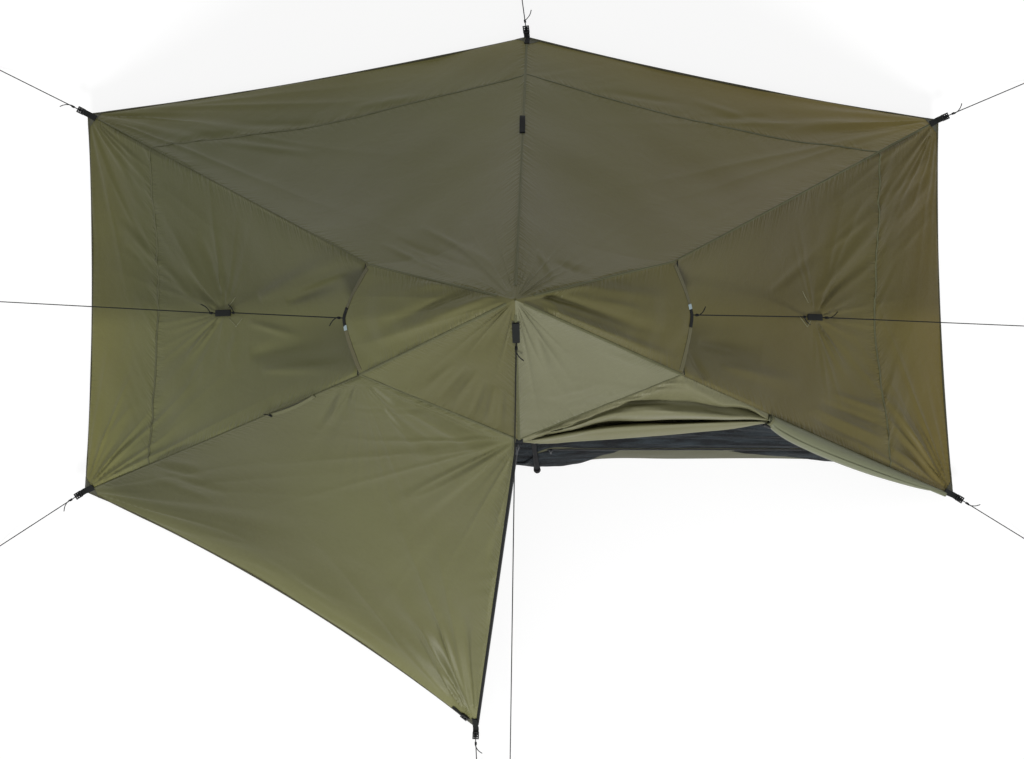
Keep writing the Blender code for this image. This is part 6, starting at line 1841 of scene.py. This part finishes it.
for name, (centre, outwards) in LOCK_CENTRES.items():
    centre, outwards = np.array(centre), unit(np.array(outwards))
    path, normals = corner_strap(name, outwards)
    attach(SHEET_AT_CORNER[name],
           strap("corner_strap_" + name, path, normals, STRAP_WIDTH, ("corner_lock_" + name,)),
           line_lock("line_lock_" + name, centre, outwards), lock_cord("lock_cord_" + name, centre, outwards))

# %% Loops, tabs and buckle
def stitch_line(name, panel, ends):
    """Fine pale row of stitches on a panel, straight between two picture places."""
    cloth = fly[panel]
    seen = seen_at(cloth.points).reshape(-1, 2)
    marks = np.linspace(np.array(ends[0], dtype=float), ends[1], 7)
    nearest = [int(np.argmin(((seen - mark) ** 2).sum(axis=1))) for mark in marks]
    points = from_picture(marks[:, 0], marks[:, 1], cloth.points.reshape(-1, 3)[nearest, 2])
    normals = cloth.normals.reshape(-1, 3)[nearest]
    attach(panel, sweep(name, points + 0.0012 * normals, normals, flat_section(0.0013, 0.0006), "fly_fabric",
                        THREAD))


def loop_of(name, start, end, normal, width, replaced, owner, rise=0.004):
    """Webbing loop sewn down at its start: a flat lower layer and an upper layer that arches above it."""
    start, end, normal = (np.array(x) for x in (start, end, normal))
    run = unit(end - start)
    reach = np.outer(np.array((0.0, 0.25, 0.55, 0.85, 1.0)), end - start)
    lower = start + reach + normal * SURFACE_GAP
    lift = np.array((0.0013, 0.0014, 0.35 * rise + 0.0012, 0.8 * rise, 0.45 * rise))
    upper = start + reach + normal * lift[:, None]
    around = np.vstack((upper, end + run * 0.0006 + normal * 0.0010, lower[::-1]))
    turned = np.vstack((np.tile(normal, (4, 1)), unit(normal + run), run, -unit(normal - run),
                        np.tile(-normal, (4, 1))))
    attach(owner, strap(name, around, turned, width, replaced))


# Start, end and normal of each side loop, and the picture places of the stitches that show beside it
SIDE_LOOPS = {
    "left": ((-0.80881, 0.00407, 0.41493), (-0.85617, 0.00404, 0.37817), (-0.60768, 0.0444, 0.79294)),
    "right": ((0.83483, -0.00794, 0.41260), (0.88217, -0.00794, 0.37531), (0.61487, 0.0777, 0.78479))}
LOOP_STITCHES = {"left": (((229, 318), (237, 327)), ((243, 318), (236, 327)), ((228, 308), (236, 297))),
                 "right": (((799, 316), (807, 327)), ((813, 316), (807, 327)), ((802, 291), (808, 303)))}
for side, (start, end, normal) in SIDE_LOOPS.items():
    name, panel = "side_loop_" + side, "side_panel_" + side
    loop_of(name + "_webbing", start, end, unit(np.array(normal)), STRAP_WIDTH, (name,), panel)
    for number, ends in enumerate(LOOP_STITCHES[side]):
        stitch_line(name + "_stitches_" + str(number), panel, ends)

CENTRE_RUN = unit(DOOR_TOP - PEAK)
CENTRE_NORMAL = towards(unit(np.cross(np.cross(CENTRE_RUN, UP), CENTRE_RUN)), UP)
loop_of("peak_loop_webbing", PEAK + CENTRE_RUN * 0.072 + CENTRE_NORMAL * 0.0016,
        PEAK + CENTRE_RUN * 0.1312 + CENTRE_NORMAL * 0.0046, CENTRE_NORMAL, STRAP_WIDTH, ("peak_loop",),
        "front_peak_left")

BACK_LOOP_ENDS = (0.497, 0.550)
line, _, normals = edge_of(fly["back_panel_left"], "left")
high, low = (int(np.argmin(np.abs(line[:, 1] - place))) for place in BACK_LOOP_ENDS)
loop_of("back_seam_loop", line[high] + normals[high] * 0.0018, line[low] + normals[low] * 0.0040,
        unit(normals[high] * (0.0, 1.0, 1.0)), 0.016, (), "back_panel_left", 0.006)

TAB_LENGTH = 0.060
for side in ("left", "right"):
    hood = fly["vent_hood_" + side]
    lip, normals = hood.points[-1], hood.normals[-1]
    middle = len(lip) // 2
    normal = unit(normals.mean(axis=0))
    inward = unit(hood.points[-6, middle] - lip[middle])
    arms = [lip[middle] + 0.5 * TAB_LENGTH * unit(lip[middle + step] - lip[middle]) for step in (-8, 8)]
    path = np.array((arms[0], lip[middle], arms[1])) + inward * 0.0085 + normal * 0.0015
    tab = strap("vent_tab_" + side + "_webbing", path, np.tile(normal, (3, 1)), 0.013, ("vent_tab_" + side,))
    outer = path[2] if side == "left" else path[0]
    block = outer + (path[1] - outer) * np.linspace(-0.02, 0.42, 4)[:, None] + normal * 0.0006
    label = strap("vent_tab_" + side + "_end", block, np.tile(normal, (4, 1)), 0.0134, thickness=0.0011,
                  finish=LABEL)
    attach("vent_hood_" + side, tab, label)

BUCKLE_FRAME = Matrix(((-0.7927, -0.41919, -0.44262, -0.15122), (0.60961, -0.54372, -0.57684, -1.21962),
                       (0.00115, -0.72709, 0.68655, 0.05839), (0.0, 0.0, 0.0, 1.0)))
BUCKLE_BARS = [((0.024, 0.004, 0.0070), (0.0, side * 0.007, 0.0035)) for side in (-1.0, 1.0)]
BUCKLE_BARS += [((0.005, 0.018, 0.0070), (side * 0.0095, 0.0, 0.0035)) for side in (-1.0, 1.0)]
BUCKLE_BARS += [((0.004, 0.016, 0.0056), (0.0, 0.0, 0.0035))]
buckle = add_piece("door_buckle_body", rounded_boxes("door_buckle_body", BUCKLE_BARS, 0.0010, BUCKLE_FRAME),
                   "plastic", PLASTIC, "door_buckle")
x_axis, _, z_axis, origin = np.array(BUCKLE_FRAME).T[:, :3]
rise = (0.0030, 0.0022, 0.0012, 0.0010)
path = origin + np.outer(np.linspace(0.002, 0.048, 4), x_axis) + np.outer(rise, z_axis)
attach("left_door", buckle, strap("door_buckle_strap", path, np.tile(z_axis, (4, 1)), 0.0108))
print("straps, loops and tabs ready")

# %% Zips
RIB_PITCH = 0.0021
RIB_HEIGHT = 0.14


def zip_run(name, start, run, across, normal, length, width, aside, owner):
    """Woven tape with a ribbed coil along its edge: ribs of 1 + 0.14 cos(2 pi s / 2.1 mm) times the bead's
    radius."""
    s = np.linspace(0.0, length, int(length / 0.006))
    path = start + run * s[:, None] + across * aside
    tape = sweep(name + "_tape", path - 0.00045 * normal, np.tile(normal, (len(s), 1)),
                 flat_section(width, 0.0009), "zip_fabric", WEBBING, (name,))
    fine = np.linspace(0.0, length, int(length / 0.0007))
    radii = ZIP_BEAD * (1.0 + RIB_HEIGHT * np.cos(TAU * fine / RIB_PITCH))
    coil = tube(name + "_coil", start + run * fine[:, None], radii, 8)
    attach(owner, tape, add_piece(name + "_coil", coil, "zip_fabric", COIL))


ZIP_END = 0.016
zip_run("door_zip", DOOR_TOP + ZIP_RUN * ZIP_END, ZIP_RUN, ZIP_INWARD, ZIP_NORMAL, ZIP_LENGTH - 2.0 * ZIP_END,
        0.0079, 0.0046, "left_door")
INNER_ZIP = (0.100, 1.020)
INNER_ZIP_WIDTH = 0.010
inner_start = np.array((INNER_ZIP[0], TUB_TOP_PLAN[0][1], TUB_HEIGHT)) - 0.0070 * WALL_UP + 0.0021 * WALL_OUT
zip_run("inner_zip", inner_start, np.array((1.0, 0.0, 0.0)), WALL_UP, WALL_OUT, INNER_ZIP[1] - INNER_ZIP[0],
        INNER_ZIP_WIDTH, 0.0, "mesh_front_net")
print("zips", round(ZIP_LENGTH - 2.0 * ZIP_END, 3), round(INNER_ZIP[1] - INNER_ZIP[0], 3))

# %% Peak patch and the door's tie
def peak_patch():
    """Six-sided cone under the panels: between two ridges the height is the straight line between their
    slopes."""
    places = VENT | {"door": DOOR_TOP}
    runs = unit(np.array([places[name] for name in HEM]) - PEAK)
    share = np.arange(8)[None, :, None] / 8.0
    rim = (runs[:, None] * (1.0 - share) + np.roll(runs, -1, axis=0)[:, None] * share).reshape(-1, 3)
    reach = np.linspace(0.003, 0.052, 14)[:, None, None]
    return PEAK - (0.0, 0.0, 0.0056) + reach * rim[None]


points = peak_patch()
patch = surface("peak_patch_cloth", points, "fly_fabric", FLY, "peak_patch", uv=points[..., :2].copy(),
                around=True, outward=UP, thickness=CLOTH_THICKNESS)
attach("back_panel_left", patch)

turn = np.linspace(-0.3 * math.pi, 1.9 * math.pi, 60)[:, None]
radial = ROLL_SIDE * np.cos(turn) + np.cross(RIDGE_DIRECTION, ROLL_SIDE) * np.sin(turn)
tie_path = TIE_CENTRE + (TIE_RADIUS - SURFACE_GAP + 0.0006 * (turn + 1.0) / math.pi) * radial
tie = sweep("tieback_strap_webbing", tie_path, radial, flat_section(TIE_WIDTH, 0.0010), finish=TIE_WEBBING,
            replaced=("tieback_strap",))

# %% The other door's tie, unused, on the left ridge
SPARE_SHARES = np.linspace(0.145, 0.291, 9)
row_shares = lower_shares(VENT["front_left"], HEM["front_left"])
spare = lower_line("front_left", np.interp(SPARE_SHARES, row_shares, np.arange(LOWER_ROWS + 1.0)))
normals = np.tile(unit(np.array((-0.25, -0.62, 0.74))), (9, 1))
aside = towards(unit(np.cross(normals[0], spare[-1] - spare[0])), (0.0, -1.0, 0.0))
path = spare + 0.010 * aside * np.sin(np.linspace(0.3, 2.7, 9))[:, None] + 0.0024 * normals
attach("left_door", sweep("spare_tie_webbing", path, normals, flat_section(0.0100, 0.0034),
                          finish=TIE_WEBBING))
bow = path[-1] + 0.0030 * normals[0]
for number, tail in enumerate(((-0.9, 0.30, 0.1), (0.35, 0.75, 0.2))):
    attach("left_door", knot("spare_tie_bow_" + str(number), bow, aside, tail, 0.022))

# %% Finishes of the CAD pieces that stay as they are
POLE = grained_material("dark_pole", srgb(20, 20, 22), 0.6, gleam=0.06)
RUBBER = grained_material("black_rubber", srgb(18, 18, 19), 0.85, gleam=0.2)
for finish, names in ((POLE, ("pole_upper", "pole_lower")), (RUBBER, ("pole_foot",)),
                      (PLASTIC, ("pole_clamp", "clamp_lever", "pole_cup", "tieback_toggle")),
                      (METAL, ("zip_slider", "zip_pull")),
                      (DARK_METAL, ("inner_zip_slider", "inner_zip_pull"))):
    for name in names:
        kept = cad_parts[name].data.materials
        kept.clear()
        kept.append(finish)
print("CAD pieces finished")

# %% [markdown]
# ## Light, floor and the closing lines
# Plain soft light: an even white sky and a broad sun from the door's side. The floor is white. For the
# camera it gets a little extra light of its own, so open floor is white while the soft shadow beside the hem
# stays.

# %% Floor and light
FLOOR_GLOW = 0.80
FLOOR_HALF = 14.0
SKY_LEVEL = 0.50
KEY_LEVEL = 2.20
FILL_LEVEL = 0.30


def floor_material():
    """Grey diffuse floor; camera, mirror and glass rays also see a glow that lifts open floor to white."""
    made, tree, shader = new_material("white_floor")
    rays = node(tree, "ShaderNodeLightPath")
    mirrored = rays["Is Glossy Ray"].math("MAXIMUM", rays["Is Transmission Ray"])
    seen = rays["Is Camera Ray"].math("MAXIMUM", mirrored)
    fill(shader, {"Base Color": srgb(140, 140, 140), "Roughness": 1.0, "Specular IOR Level": 0.0,
                  "Emission Strength": seen * FLOOR_GLOW, "Emission Color": WHITE})
    return made


corners = FLOOR_HALF * np.array(((-1.0, -1.0, 0.0), (1.0, -1.0, 0.0), (1.0, 1.0, 0.0), (-1.0, 1.0, 0.0)))
floor = bpy.data.objects.new("floor", mesh_from("floor", corners - (0.0, 0.0, 0.0006), [[0, 1, 2, 3]]))
floor.data.materials.append(floor_material())
bpy.context.scene.collection.objects.link(floor)

world = bpy.data.worlds.new("soft_sky")
world.use_nodes = True
rays = node(world.node_tree, "ShaderNodeLightPath")
fill(world.node_tree.nodes["Background"], {"Color": WHITE,
                                           "Strength": rays["Is Camera Ray"].math("MAXIMUM", SKY_LEVEL)})
bpy.context.scene.world = world
for name, level, spread, turn, tilt in (("key", KEY_LEVEL, 14.0, 4.0, 58.0),
                                        ("fill", FILL_LEVEL, 30.0, 180.0, 25.0)):
    sun = bpy.data.objects.new(name, bpy.data.lights.new(name, "SUN"))
    sun.data.energy = level
    sun.data.angle = math.radians(spread)
    turned = Matrix.Rotation(math.radians(turn), 4, "Z")
    sun.matrix_world = turned @ Matrix.Rotation(math.radians(tilt), 4, "X")
    bpy.context.scene.collection.objects.link(sun)
bpy.context.scene.view_settings.view_transform = "Standard"

# %% Print the sizes of the sheets
for piece, cloth, held, rests_on in sheets:
    declare_sheet(piece, cloth)
round(cloth_area(roll_cloth.points), 4)
round(cloth_area(wall_points), 4)
